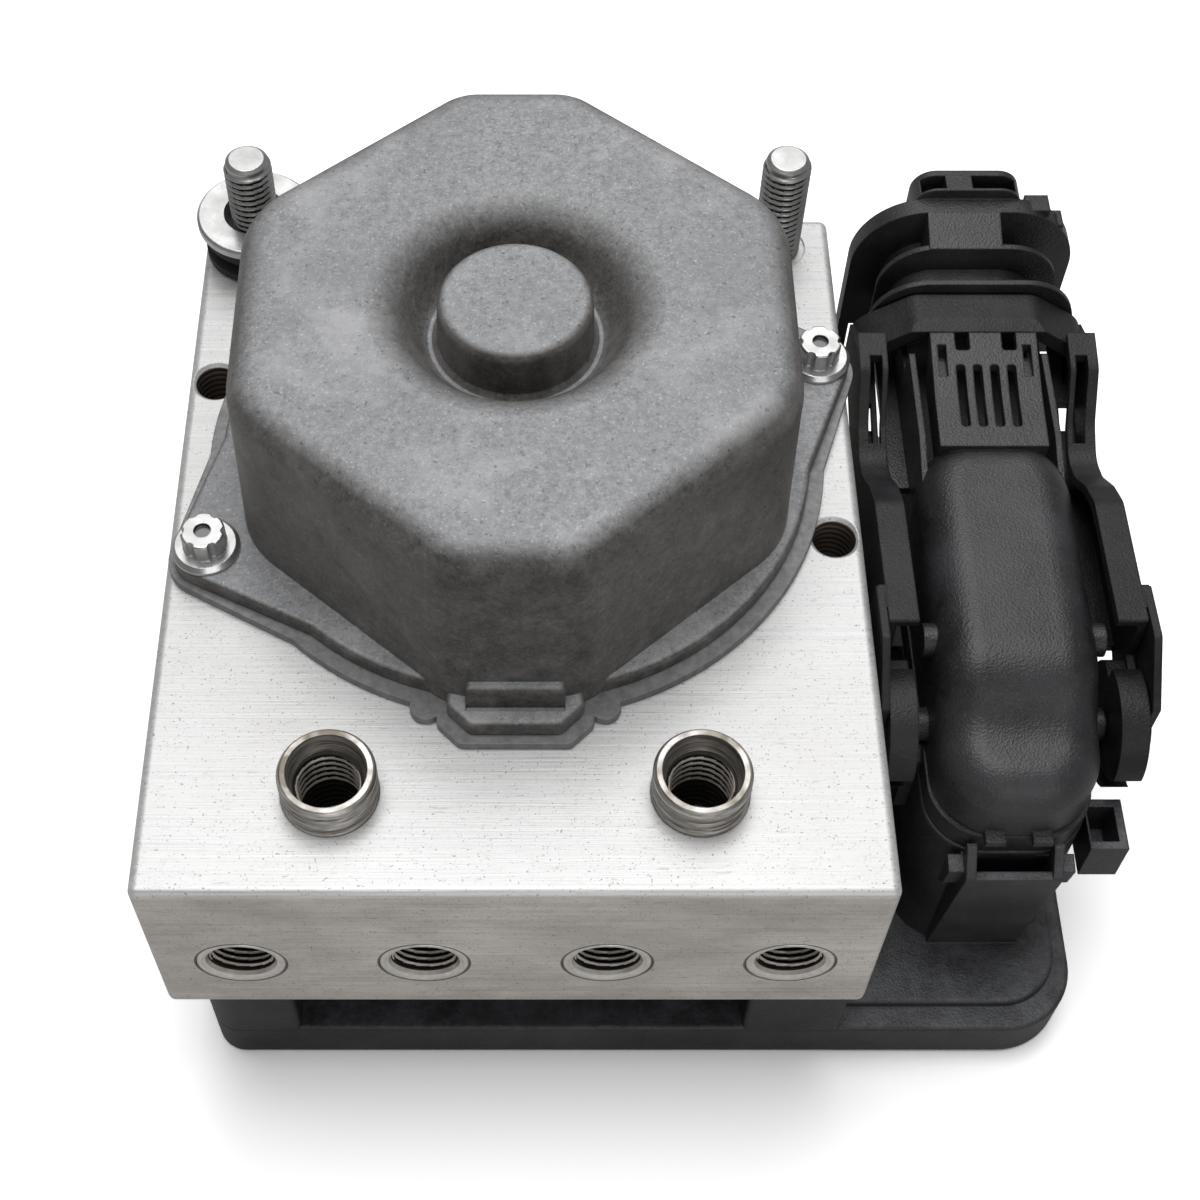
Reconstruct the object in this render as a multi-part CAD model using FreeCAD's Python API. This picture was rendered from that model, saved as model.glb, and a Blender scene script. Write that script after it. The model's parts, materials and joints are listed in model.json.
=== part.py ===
import FreeCAD, Part
import math
import os

# Anti-lock brake hydraulic unit: valve block, motor, control unit and lever-locked cable plug.
# Millimetres. +Z runs up along the motor axis, the four-port face looks to -Y and the plug stands on +X.
# The origin is on the motor axis, in the underside of the control unit.

V = FreeCAD.Vector
X_AXIS, Y_AXIS, Z_AXIS = V(1, 0, 0), V(0, 1, 0), V(0, 0, 1)

# General clearances
seat_gap = 0.05            # between pieces pressed or screwed together
running_gap = 0.05         # radial gap of a shaft or piston in its bore
free_gap = 0.4             # between pieces that move past each other
spring_steps_per_turn = 10

# Control unit
ecu_height = 29.0
ecu_left_setback = 3.5
ecu_plug_side = 16.4
ecu_front_setback = 3.0
ecu_back_setback = 2.0
ecu_corner_r = 12.0
ecu_left_corner_r = 5.0
ecu_wall = 2.4
ledge_top = 10.0
ledge_overlap = 1.0
pad_height = 1.6
pad_border = 4.0
pad_side_border = 2.6
cover_thickness = 2.5
recess_left_inset = 15.0
recess_right_inset = 17.0
recess_depth = 6.0
board_z = 5.0
board_thickness = 1.6

# Valve block
block_width = 108.0
block_front = -76.5
block_depth = 129.0
block_height = 39.0
seal_thickness = 0.4
block_edge_r = 1.4

# Front ports and their inserts
port_side_inset = 13.2
front_port_drop = 23.6
insert_r = 6.65
insert_depth = 14.0
port_thread_minor_r = 4.5
port_mouth_r = 5.4
port_mouth_depth = 1.2
passage_r = 2.0
cross_passage_r = 1.75
riser_r = 1.5

# Top ports and their sleeves
sleeve_x = 26.5
sleeve_setback = 16.1
sleeve_r = 7.1
sleeve_stand = 6.5
sleeve_sunk = 13.0
sleeve_mouth_r = 5.8
sleeve_mouth_depth = 2.6

# Fastening points on the block
mount_hole_inset = 4.5
mount_hole_y = 15.7
mount_hole_r = 3.4
mount_hole_depth = 16.0
mount_mouth_chamfer = 0.6
stud_side_inset = 9.4
stud_back_inset = 6.6
stud_r = 4.0
stud_root_r = 3.35
stud_stand = 20.6
stud_sunk = 14.0
stud_chamfer = 0.9
stud_relief = 0.3
spotface_r = 5.0
spotface_depth = 0.4

# Isolator round the left stud
bush_flange_r = 9.8
bush_flange_thickness = 2.0
bush_hole_r = 5.2
bush_wall = 1.3
isolator_height = 8.5
rubber_r = 9.0
rubber_groove_r = 7.4
rubber_groove_width = 2.0

# Motor cover
motor_height = 37.6
motor_half_width = 42.0
motor_front_reach = 47.2
motor_back_reach = 46.2
motor_front_flat = 9.6
motor_side_flat = 19.6
motor_corner_r = 10.0
motor_side_corner_r = 15.0
motor_draft = 1.0
motor_rim_r = 5.0
motor_wall = 2.6
plate_thickness = 1.6
flange_thickness = 2.8
flange_r = 46.4
plate_r = 48.8
lug_r = 5.2
plate_lug_r = 6.2
bolt_circle_r = 51.6
bolt_angles = [18.7, 203.8]
tongue_half_width = 10.0
tongue_reach = 51.9
tongue_chamfer = 3.4
plate_tongue_half_width = 11.5
plate_tongue_reach = 53.4
bump_r = 2.4
bump_x = 13.1
bump_y = -46.9
foot_pad_half_width = 7.2
foot_pad_height = 4.0
foot_pad_depth = 1.3
foot_groove_width = 0.9
dish_r = 18.7
dish_lip = 3.0
dish_floor_r = 13.0
dish_depth = 8.6
boss_r = 11.4
boss_edge_r = 1.6

# Motor bolts
bolt_shank_r = 2.5
bolt_core_r = 2.1
bolt_flange_r = 5.25
bolt_flange_thickness = 1.2
bolt_head_r = 3.4
bolt_head_height = 4.6
bolt_lobes = 6
bolt_lobe_cut_r = 0.8
bolt_socket_r = 1.3
bolt_socket_depth = 0.7
bolt_depth = 12.0

# Motor inside
ring_thickness = 2.0
ring_height = 20.0
magnet_thickness = 4.2
magnet_height = 15.0
magnet_count = 4
magnet_gap_deg = 16.0
air_gap = 0.6
core_height = 11.0
core_slots = 10
slot_width = 3.4
slot_depth = 11.0
winding_overhang = 3.0
commutator_r = 8.0
commutator_height = 4.4
commutator_bars = 10
brush_count = 4
brush_length = 7.0
brush_width = 4.6
brush_height = 3.4
brush_plate_r = 33.0
brush_plate_thickness = 1.5
shaft_r = 4.0
shaft_top_r = 3.0
top_bearing_r = 6.5
top_bearing_length = 6.0
main_bearing_r = 11.0
main_bearing_height = 7.0

# Pump
pump_drop = 20.0
eccentric_offset = 0.8
eccentric_r = 6.5
eccentric_height = 10.0
ring_bearing_r = 9.5
ring_bearing_height = 9.0
chamber_r = 12.0
chamber_floor_drop = 27.0
piston_r = 4.0
piston_length = 20.0
cylinder_r = 7.0
cylinder_length = 19.0
plug_r = 8.5
plug_length = 12.0
plug_hex = 8.0
plug_hex_depth = 5.0
pump_spring_r = 2.6
pump_spring_wire = 0.8
pump_spring_turns = 4

# Accumulators
accumulator_x = 24.0
accumulator_y = 34.0
accumulator_r = 10.0
accumulator_depth = 22.0
accumulator_piston_length = 8.0
accumulator_piston_wall = 2.0
accumulator_cap_thickness = 2.5
accumulator_spring_r = 6.6
accumulator_spring_wire = 1.4
accumulator_spring_turns = 3

# Valves and coils
inlet_row_y = -46.0
outlet_row_y = -22.0
valve_body_r = 5.0
valve_sunk = 14.0
valve_dome_r = 3.4
valve_dome_length = 17.0
coil_r = 7.0
coil_length = 14.0
coil_bore_gap = 0.3

# Fasteners of the control unit
screw_left_inset = 7.1
screw_right_inset = 9.0
screw_front_inset = 7.5
screw_back_inset = 8.5
screw_r = 2.0
screw_head_r = 3.9
screw_head_height = 2.2
screw_reach = 8.0
screw_head_rise = 1.6
post_wall = 1.2

# Motor contacts
contact_y = 24.0
contact_spacing = 5.0
contact_width = 2.0
contact_bore_r = 5.2

# Plug shroud on the control unit
plug_offset = 22.0
shroud_half_width = 12.8
shroud_wall = 1.6
shroud_front = -58.4
shroud_back = 12.0
shroud_corner_r = 9.0
shroud_top = 44.8
peg_r = 1.3
peg_reach = 19.0
ear_half_length = 4.0
ear_thickness = 2.0
pocket_half_width = 7.4
pocket_wing = 2.3
pocket_lean = 4.3
pocket_reach = 4.7
pocket_wall = 1.5
pocket_floor = 16.0
pocket_cheek = 3.6
side_pocket_front = -57.8
side_pocket_back = -49.2
side_pocket_reach = 18.4
side_pocket_wall = 1.3
side_pocket_height = 9.0

# Plug body
plug_side_gap = 0.3
plug_block_bottom = 20.0
plug_flange_thickness = 4.4
contact_rows = 3
contact_columns = 13
contact_pitch_x = 5.2
contact_pitch_y = 4.4
cavity_width = 1.8
pin_width = 0.8
pin_top = 32.0
seal_groove_depth = 1.3
seal_z = 24.0
seal_height = 5.0

# Cable cover
cover_half_width = 12.3
cover_wall = 1.6
cover_front_corner_r = 10.0
cover_edge_r = 6.4
cover_bend_r = 12.0
shoulder_z = 63.0
shoulder_end = -46.5
crest_start = -39.5
crest_front_z = 69.6
crest_back_z = 71.6
dome_end = 3.0
dome_back_corner_r = 7.8
dome_back_half = 9.6
dome_taper_length = 8.0
dome_taper_r = 12.0
latch_end = 20.8
latch_root = 3.0
latch_bend = 6.0
latch_sink = 0.3
latch_half_width = 8.65
latch_end_z = 75.0
latch_thickness = 1.8
latch_slot_count = 4
latch_slot_width = 1.5
latch_slot_pitch = 2.75
latch_slot_front = 3.6
latch_slot_length = 11.3
fin_outer = 11.4
fin_thickness = 1.0
fin_top = 70.4
fin_end = 20.3
fin_low_top = 65.8

# Ribbed cable outlet of the cover
outlet_start = 31.0
outlet_end = 52.4
rib_centre_shift = 0.8
rib_thickness = 1.0
rib_one_half = 17.3
rib_one_top = 75.0
rib_two_start = 38.1
rib_two_half = 15.3
rib_two_top = 76.0
rib_three_start = 44.6
rib_three_end = 47.8
rib_three_half = 19.0
rib_three_top = 78.0
rib_foot = 58.0
rib_three_foot = 42.0
rib_three_web = 50.0
rib_corner_r = 9.5
tube_half = 12.6
trough_half = 14.4
trough_start = 1.4
trough_low = 56.6
trough_thickness = 1.6
tube_top = 70.9
tube_bore_half = 10.3
tube_wall = 1.5
saddle_half = 6.1
saddle_shift = -0.7
loop_half = 9.2
loop_top = 80.0
loop_bar_half = 2.2
loop_bar_shift = -1.3
loop_rim = 1.2

# Lever and its cams
pivot_y = -40.0
pivot_z = 52.4
pivot_r = 1.7
pivot_gap = 0.08
pivot_boss_r = 2.6
pivot_boss_reach = 15.0
lug_stop_r = 2.6
lug_stop_length = 2.6
cam_r = 10.0
cam_inner = 15.3
cam_outer = 19.6
cam_start_r = 4.4
cam_lift = 6.0
lever_open_deg = 75.0
cam_slot_gap = 0.1
arm_inner = 15.0
arm_outer = 19.6
arm_rim = 1.8
arm_web = 1.3
arm_end_y = -31.6
arm_flange = 1.4
arm_top_line = [(arm_end_y, 4.4), (-9.0, 4.8), (-4.0, 7.4), (1.0, 11.6), (5.5, 13.0), (11.0, 10.2),
                (17.0, 3.4)]
window_wall = 0.9
window_width = 2.0
window_start = 8.0
window_end = 19.5
bow_front = 22.6
bow_back = 30.2
arm_low_line = [(-27.6, 54.0), (-10.0, 54.0), (8.0, 53.0), (bow_back, 60.0)]
bow_top = 73.4
bow_thickness = 2.4
bow_flat_half = 9.5
side_web_outer = 21.0
side_web_end = -25.0

# Levels and faces worked out from the sizes above
block_bottom = ecu_height + seal_thickness
block_top = block_bottom + block_height
block_back = block_front + block_depth
block_half = block_width / 2
port_pitch = (block_width - 2 * port_side_inset) / 3
front_port_x = [(i - 1.5) * port_pitch for i in range(4)]
valve_x = front_port_x
sleeve_y = block_front + sleeve_setback
mount_hole_x = block_half - mount_hole_inset
stud_x = block_half - stud_side_inset
stud_y = block_back - stud_back_inset
plug_x = block_half + plug_offset
ecu_left = -block_half + ecu_left_setback
ecu_right = plug_x + ecu_plug_side
ecu_front = block_front + ecu_front_setback
ecu_back = block_back - ecu_back_setback
recess_left = ecu_left + recess_left_inset
recess_right = block_half - recess_right_inset
ledge_start = block_half - ledge_overlap
cover_low = block_top + plate_thickness
flange_top = cover_low + flange_thickness
motor_top = block_top + motor_height
front_port_z = block_top - front_port_drop
pump_z = block_top - pump_drop
pad_top = ledge_top + pad_height
ring_outer_r = motor_half_width - motor_draft - motor_wall - free_gap
ring_inner_r = ring_outer_r - ring_thickness
magnet_outer_r = ring_inner_r - seat_gap
magnet_inner_r = magnet_outer_r - magnet_thickness
core_r = magnet_inner_r - air_gap
brush_plate_z = cover_low + seat_gap
commutator_z = brush_plate_z + brush_plate_thickness + free_gap
core_z = commutator_z + commutator_height + winding_overhang + free_gap
core_top = core_z + core_height
boss_ceiling = motor_top - motor_wall - free_gap
plug_front = shroud_front + shroud_wall + plug_side_gap
plug_back = shroud_back - shroud_wall - plug_side_gap
plug_half_width = shroud_half_width - shroud_wall - plug_side_gap
plug_flange_z = shroud_top + free_gap
plug_top = plug_flange_z + plug_flange_thickness
cover_z = plug_top + seat_gap
cam_pitch = cam_lift / math.radians(lever_open_deg)
peg_z = pivot_z - cam_start_r
screw_head_z = cover_thickness + screw_head_rise
screw_rows = [ecu_front + screw_front_inset, ecu_back - screw_back_inset]
screw_columns = [ecu_left + screw_left_inset, block_half - screw_right_inset]
screw_positions = [(x, y) for y in screw_rows for x in screw_columns]


def box(x0, x1, y0, y1, z0, z1):
    return Part.makeBox(x1 - x0, y1 - y0, z1 - z0, V(x0, y0, z0))


def cyl(r, h, x, y, z, direction=Z_AXIS):
    return Part.makeCylinder(r, h, V(x, y, z), direction)


def rounded_wire(points, radii):
    """Closed wire through points, each corner rounded by its own radius; 0 leaves it sharp."""
    count = len(points)
    starts, ends, arcs = [], [], []
    for i in range(count):
        here = points[i]
        back = points[i - 1] - here
        ahead = points[(i + 1) % count] - here
        if radii[i] == 0:
            starts.append(here)
            ends.append(here)
            arcs.append(None)
            continue
        back.normalize()
        ahead.normalize()
        half = back.getAngle(ahead) / 2
        reach = radii[i] / math.tan(half)
        middle = back + ahead
        middle.normalize()
        centre = here + middle * (radii[i] / math.sin(half))
        first = here + back * reach
        last = here + ahead * reach
        starts.append(first)
        ends.append(last)
        arcs.append(Part.Arc(first, centre - middle * radii[i], last).toShape())
    edges = []
    for i in range(count):
        if arcs[i] is not None:
            edges.append(arcs[i])
        after = starts[(i + 1) % count]
        if ends[i].distanceToPoint(after) > 1e-6:
            edges.append(Part.LineSegment(ends[i], after).toShape())
    return Part.Wire(edges)


def shrunk(points, inset):
    """Corners of an anticlockwise outline with every side moved inwards by inset."""
    corners = [V(x, y, 0) for x, y in points]
    count = len(corners)
    moved = []
    for i, here in enumerate(corners):
        arrive = here - corners[i - 1]
        leave = corners[(i + 1) % count] - here
        first = V(-arrive.y, arrive.x, 0).normalize()
        second = V(-leave.y, leave.x, 0).normalize()
        shift = (first + second) * (inset / (1 + first.dot(second)))
        moved.append((here.x + shift.x, here.y + shift.y))
    return moved


def slab(points, radii, push):
    """Prism of a rounded outline pushed along a vector."""
    return Part.Face(rounded_wire(points, radii)).extrude(push)


def plan_slab(xy, radii, z0, z1):
    return slab([V(x, y, z0) for x, y in xy], radii, V(0, 0, z1 - z0))


def side_slab(yz, radii, x0, x1):
    return slab([V(x0, y, z) for y, z in yz], radii, V(x1 - x0, 0, 0))


def front_slab(xz, radii, y0, y1):
    return slab([V(x, y0, z) for x, z in xz], radii, V(0, y1 - y0, 0))


def rounded_box(x0, x1, y0, y1, z0, z1, r):
    return plan_slab([(x0, y0), (x1, y0), (x1, y1), (x0, y1)], [r] * 4, z0, z1)


def fuse(shapes):
    body = shapes[0]
    if len(shapes) > 1:
        body = body.multiFuse(shapes[1:])
    return body.removeSplitter()


def cut(body, tools):
    return body.cut(tools)


def mirrored(shape, x):
    return shape.mirror(V(x, 0, 0), X_AXIS)


def edges_where(shape, wanted):
    return [edge for edge in shape.Edges if wanted(edge)]


def rounded(shape, radius, wanted):
    chosen = edges_where(shape, wanted)
    return shape.makeFillet(radius, chosen) if chosen else shape


def at_height(z, tolerance=0.01):
    return lambda edge: abs(edge.BoundBox.ZMin - z) < tolerance and abs(edge.BoundBox.ZMax - z) < tolerance


def upright(edge):
    box_of_edge = edge.BoundBox
    return box_of_edge.ZLength > 0.5 and box_of_edge.XLength < 0.01 and box_of_edge.YLength < 0.01


def turned(profile, x, y):
    """Solid of revolution about a vertical axis through x, y from a list of (radius, z)."""
    points = [V(x + r, y, z) for r, z in profile]
    face = Part.Face(Part.makePolygon(points + [points[0]]))
    return face.revolve(V(x, y, 0), Z_AXIS, 360)


def tube(outer, inner, h, x, y, z, direction=Z_AXIS):
    return cyl(outer, h, x, y, z, direction).cut(cyl(inner, h, x, y, z, direction))


def hexagon(across, depth, x, y, z, direction):
    """Hexagonal prism, flats parallel to the Z axis or the Y axis, along direction."""
    corner = across / math.sqrt(3)
    side = Z_AXIS if abs(direction.z) < 0.5 else X_AXIS
    other = direction.cross(side)
    centre = V(x, y, z)
    points = []
    for i in range(6):
        angle = math.radians(60 * i)
        points.append(centre + side * (corner * math.cos(angle)) + other * (corner * math.sin(angle)))
    return Part.Face(Part.makePolygon(points + [points[0]])).extrude(direction * depth)


def coil_spring(radius, wire, turns, length):
    """Spring standing on z = 0, axis up: a six-sided bar run along the helix in short steps."""
    steps = turns * spring_steps_per_turn
    sections = []
    for i in range(steps + 1):
        turn = 2 * math.pi * turns * i / steps
        rise = wire / 2 + (length - wire) * i / steps
        outward = V(math.cos(turn), math.sin(turn), 0)
        corners = []
        for j in range(6):
            angle = math.radians(60 * j)
            across = outward * (radius + wire / 2 * math.cos(angle))
            corners.append(across + V(0, 0, rise + wire / 2 * math.sin(angle)))
        sections.append(Part.makePolygon(corners + [corners[0]]))
    return Part.makeLoft(sections, True, True)


# Valve block

def bolt_points():
    places = []
    for angle in bolt_angles:
        turn = math.radians(angle)
        places.append((bolt_circle_r * math.cos(turn), bolt_circle_r * math.sin(turn)))
    return places


def mount_points():
    return [(mount_hole_x, -mount_hole_y), (-mount_hole_x, mount_hole_y)]


def valve_places():
    return [(x, y) for y in (inlet_row_y, outlet_row_y) for x in valve_x]


def port_bores():
    tools = []
    for x in front_port_x:
        tools.append(cyl(insert_r + seat_gap, insert_depth, x, block_front, front_port_z, Y_AXIS))
        reach = outlet_row_y - block_front
        tools.append(cyl(passage_r, reach, x, block_front, front_port_z, Y_AXIS))
    for y in (inlet_row_y, outlet_row_y):
        for x in valve_x:
            tools.append(cyl(valve_body_r + seat_gap, valve_sunk, x, y, block_bottom))
    for side in (-1, 1):
        sleeve_floor = block_top - sleeve_sunk
        tools.append(cyl(sleeve_r + seat_gap, sleeve_sunk, side * sleeve_x, sleeve_y, sleeve_floor))
        tools.append(cyl(riser_r, sleeve_floor - front_port_z + 1, side * sleeve_x, sleeve_y, front_port_z))
        span = front_port_x[3] - sleeve_x + passage_r
        start = sleeve_x - passage_r if side > 0 else -sleeve_x + passage_r - span
        tools.append(cyl(cross_passage_r, span, start, sleeve_y, front_port_z, X_AXIS))
    return tools


def pump_bores():
    chamber_floor = block_top - chamber_floor_drop
    bearing_seat = block_top - main_bearing_height
    tools = [cyl(chamber_r, block_top - chamber_floor, 0, 0, chamber_floor)]
    tools.append(cyl(main_bearing_r + seat_gap, main_bearing_height, 0, 0, bearing_seat))
    tools.append(cyl(cylinder_r + seat_gap, block_width, -block_half, 0, pump_z, X_AXIS))
    for side in (-1, 1):
        start = block_half - plug_length if side > 0 else -block_half
        tools.append(cyl(plug_r + seat_gap, plug_length, start, 0, pump_z, X_AXIS))
    return tools


def accumulator_bores():
    return [cyl(accumulator_r, accumulator_depth, side * accumulator_x, accumulator_y, block_bottom)
            for side in (-1, 1)]


def fastener_bores():
    tools = []
    for x, y in bolt_points():
        tools.append(cyl(bolt_core_r + seat_gap, bolt_depth, x, y, block_top - bolt_depth))
    for x, y in mount_points():
        tools.append(cyl(mount_hole_r, mount_hole_depth + 1, x, y, block_top - mount_hole_depth))
        rise = mount_mouth_chamfer + 1
        tools.append(Part.makeCone(mount_hole_r, mount_hole_r + rise, rise,
                                   V(x, y, block_top - mount_mouth_chamfer), Z_AXIS))
    for side in (-1, 1):
        x = side * stud_x
        tools.append(cyl(stud_root_r + seat_gap, stud_sunk, x, stud_y, block_top - stud_sunk))
        tools.append(cyl(spotface_r, spotface_depth + 1, x, stud_y, block_top - spotface_depth))
    for x, y in screw_positions:
        tools.append(cyl(screw_r + seat_gap, screw_reach, x, y, block_bottom))
    tools.append(cyl(contact_bore_r, block_height, 0, contact_y, block_bottom))
    return tools


def hydraulic_block():
    body = box(-block_half, block_half, block_front, block_back, block_bottom, block_top)
    body = body.makeFillet(block_edge_r, body.Edges)
    return cut(body, port_bores() + pump_bores() + accumulator_bores() + fastener_bores())


def port_insert(x):
    outer = cyl(insert_r, insert_depth, x, block_front, front_port_z, Y_AXIS)
    bore = cyl(port_thread_minor_r, insert_depth, x, block_front, front_port_z, Y_AXIS)
    mouth = Part.makeCone(port_mouth_r, port_thread_minor_r, port_mouth_depth,
                          V(x, block_front, front_port_z), Y_AXIS)
    return outer.cut(bore).cut(mouth)


def port_sleeve(side):
    floor = block_top - sleeve_sunk
    top = block_top + sleeve_stand
    profile = [(port_thread_minor_r, floor), (sleeve_r, floor), (sleeve_r, top - 0.7),
               (sleeve_r - 0.5, top), (sleeve_mouth_r, top), (sleeve_mouth_r - 0.3, top - sleeve_mouth_depth),
               (port_thread_minor_r, top - sleeve_mouth_depth - 1.0)]
    return turned(profile, side * sleeve_x, sleeve_y)


def mounting_stud(side):
    floor = block_top - stud_sunk
    top = block_top + stud_stand
    shoulder = block_top + stud_relief
    profile = [(0, floor), (stud_root_r, floor), (stud_root_r, shoulder), (stud_r, shoulder),
               (stud_r, top - stud_chamfer), (stud_r - stud_chamfer, top), (0, top)]
    return turned(profile, side * stud_x, stud_y)


def isolator_sleeve():
    low = block_top + seat_gap
    top = block_top + isolator_height
    barrel = bush_hole_r + bush_wall
    profile = [(bush_hole_r, low), (barrel, low), (barrel, top - bush_flange_thickness),
               (bush_flange_r - 0.4, top - bush_flange_thickness),
                (bush_flange_r, top - bush_flange_thickness + 0.5),
               (bush_flange_r, top - 0.4), (bush_flange_r - 0.4, top), (bush_hole_r, top)]
    return turned(profile, -stud_x, stud_y)


def isolator_rubber():
    low = block_top + seat_gap
    top = block_top + isolator_height - bush_flange_thickness - seat_gap
    inner = bush_hole_r + bush_wall + seat_gap
    middle = (low + top) / 2
    half = rubber_groove_width / 2
    profile = [(inner, low), (rubber_r - 0.5, low), (rubber_r, low + 0.5), (rubber_r, middle - half - 0.4),
               (rubber_groove_r, middle - half), (rubber_groove_r, middle + half),
               (rubber_r, middle + half + 0.4), (rubber_r, top - 0.3), (rubber_r - 0.3, top), (inner, top)]
    return turned(profile, -stud_x, stud_y)


# Motor

def motor_outline(inset, z):
    """Rounded octagon of the cover wall, moved inwards by inset."""
    half = [(motor_front_flat, -motor_front_reach), (motor_half_width, -motor_side_flat),
            (motor_half_width, motor_side_flat), (motor_front_flat, motor_back_reach)]
    around = shrunk(half + [(-x, y) for x, y in reversed(half)], inset)
    corner, side_corner = motor_corner_r - inset, motor_side_corner_r - inset
    radii = [corner, side_corner, side_corner, corner] * 2
    return rounded_wire([V(x, y, z) for x, y in around], radii)


def motor_shell(inset, low, top):
    return Part.makeLoft([motor_outline(inset, low), motor_outline(inset + motor_draft, top)], True, True)


def hull_to_lug(x, y, lug, centre_r, low, high):
    """Flat web whose two sides run tangent from the round body to a bolt lug."""
    reach = math.hypot(x, y)
    along = math.atan2(y, x)
    lean = math.acos((centre_r - lug) / reach)
    points = []
    for side in (1, -1):
        angle = along + side * lean
        points.append((centre_r * math.cos(angle), centre_r * math.sin(angle)))
        points.append((x + lug * math.cos(angle), y + lug * math.sin(angle)))
    order = [points[0], points[1], points[3], points[2]]
    return plan_slab(order, [0] * 4, low, high)


def flange_slab(round_r, lug, half, reach, low, high):
    """Round flange with two bolt lugs and a front tongue."""
    body = [cyl(round_r, high - low, 0, 0, low)]
    for x, y in bolt_points():
        body.append(cyl(lug, high - low, x, y, low))
        body.append(hull_to_lug(x, y, lug, round_r - 1.5, low, high))
    tip = -reach
    root = -round_r + 8
    chamfer = tongue_chamfer
    outline = [(-half, root), (-half, tip + chamfer), (-half + chamfer, tip),
               (half - chamfer, tip), (half, tip + chamfer), (half, root)]
    body.append(plan_slab(outline, [0, 1.5, 1.5, 1.5, 1.5, 0], low, high))
    return fuse(body)


def dish_cutter():
    """Sunk ring in the cover top that leaves the centre boss standing."""
    floor = motor_top - dish_depth
    top_inner = V(boss_r - boss_edge_r, 0, motor_top)
    wall_start = V(boss_r, 0, motor_top - boss_edge_r)
    lean = boss_edge_r * math.sqrt(0.5)
    edge = Part.Arc(top_inner, V(boss_r - boss_edge_r + lean, 0, motor_top - boss_edge_r + lean), wall_start)
    wall = [wall_start, V(boss_r + 0.2, 0, floor + 0.8), V(boss_r + 1.0, 0, floor), V(dish_floor_r, 0, floor)]
    flare = Part.BSplineCurve()
    lip_r = dish_r + dish_lip
    flare.interpolate([V(dish_floor_r, 0, floor), V(dish_floor_r + 1.3, 0, floor + 1.3),
                       V(dish_floor_r + 3.2, 0, floor + 4.8), V(dish_r, 0, motor_top - 1.3),
                       V(lip_r, 0, motor_top)])
    lid = [V(lip_r, 0, motor_top), V(lip_r, 0, motor_top + 1),
           V(boss_r - boss_edge_r, 0, motor_top + 1), top_inner]
    outline = [edge.toShape()] + Part.makePolygon(wall).Edges
    outline += [flare.toShape()] + Part.makePolygon(lid).Edges
    return Part.Face(Part.Wire(outline)).revolve(V(0, 0, 0), Z_AXIS, 360)


def motor_cover():
    outer = motor_shell(0, cover_low, motor_top)
    rim = edges_where(outer, at_height(motor_top))
    outer = outer.makeFillet(motor_rim_r, rim)
    flange = flange_slab(flange_r, lug_r, tongue_half_width, tongue_reach, cover_low, flange_top)
    flange = rounded(flange, 0.9, at_height(flange_top))
    foot_front = -motor_front_reach - foot_pad_depth
    foot = box(-foot_pad_half_width, foot_pad_half_width, foot_front, -motor_front_reach + 4,
               cover_low, flange_top + foot_pad_height)
    foot = rounded(foot, 0.9, at_height(flange_top + foot_pad_height))
    body = fuse([outer, flange, foot])
    groove = box(-foot_pad_half_width, foot_pad_half_width, foot_front - foot_groove_width, foot_front,
                 flange_top - 0.7, flange_top + 1)
    inner = motor_shell(motor_wall, cover_low, motor_top - motor_wall)
    under_dish = cyl(dish_r + dish_lip, dish_depth + 1, 0, 0, motor_top - motor_wall - dish_depth)
    inner = inner.cut(under_dish)
    seat = cyl(top_bearing_r + seat_gap, boss_ceiling - (motor_top - dish_depth - motor_wall) + 1,
               0, 0, motor_top - dish_depth - motor_wall - 1)
    body = cut(body, [dish_cutter(), inner, seat, groove])
    holes = [cyl(bolt_shank_r + 0.3, flange_thickness + 2, x, y, cover_low - 1) for x, y in bolt_points()]
    return cut(body, holes)


def motor_base_plate():
    plate = flange_slab(plate_r, plate_lug_r, plate_tongue_half_width, plate_tongue_reach,
                        block_top + seat_gap, cover_low - seat_gap)
    bumps = [cyl(bump_r, plate_thickness - 2 * seat_gap, side * bump_x, bump_y, block_top + seat_gap)
             for side in (-1, 1)]
    plate = fuse([plate] + bumps)
    low = block_top
    holes = [cyl(bolt_shank_r + 0.3, plate_thickness, x, y, low) for x, y in bolt_points()]
    holes.append(cyl(main_bearing_r - 2.0, plate_thickness, 0, 0, low))
    slot_half = contact_spacing / 2 + contact_width
    holes.append(box(-slot_half, slot_half, contact_y - contact_width, contact_y + contact_width,
                     low, cover_low))
    return cut(plate, holes)


def motor_bolt(x, y):
    top = flange_top + seat_gap
    shank = cyl(bolt_core_r, bolt_depth + plate_thickness + flange_thickness - 1, x, y,
                block_top - bolt_depth + 1)
    washer = turned([(0, top), (bolt_flange_r, top), (bolt_flange_r, top + 0.5),
                     (bolt_flange_r - 0.6, top + bolt_flange_thickness),
                     (0, top + bolt_flange_thickness)], x, y)
    head = cyl(bolt_head_r, bolt_head_height, x, y, top)
    head_top = top + bolt_head_height
    head = rounded(head, 0.4, at_height(head_top))
    tools = []
    for i in range(bolt_lobes):
        angle = math.radians(i * 360 / bolt_lobes)
        dx = bolt_head_r * 1.05 * math.cos(angle)
        dy = bolt_head_r * 1.05 * math.sin(angle)
        tools.append(cyl(bolt_lobe_cut_r, bolt_head_height, x + dx, y + dy, top + bolt_flange_thickness))
    tools.append(cyl(bolt_socket_r, bolt_socket_depth, x, y, head_top - bolt_socket_depth))
    return fuse([shank, washer, cut(head, tools)])


def pole_ring():
    return tube(ring_outer_r, ring_inner_r, ring_height, 0, 0, core_z - winding_overhang)


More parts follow.
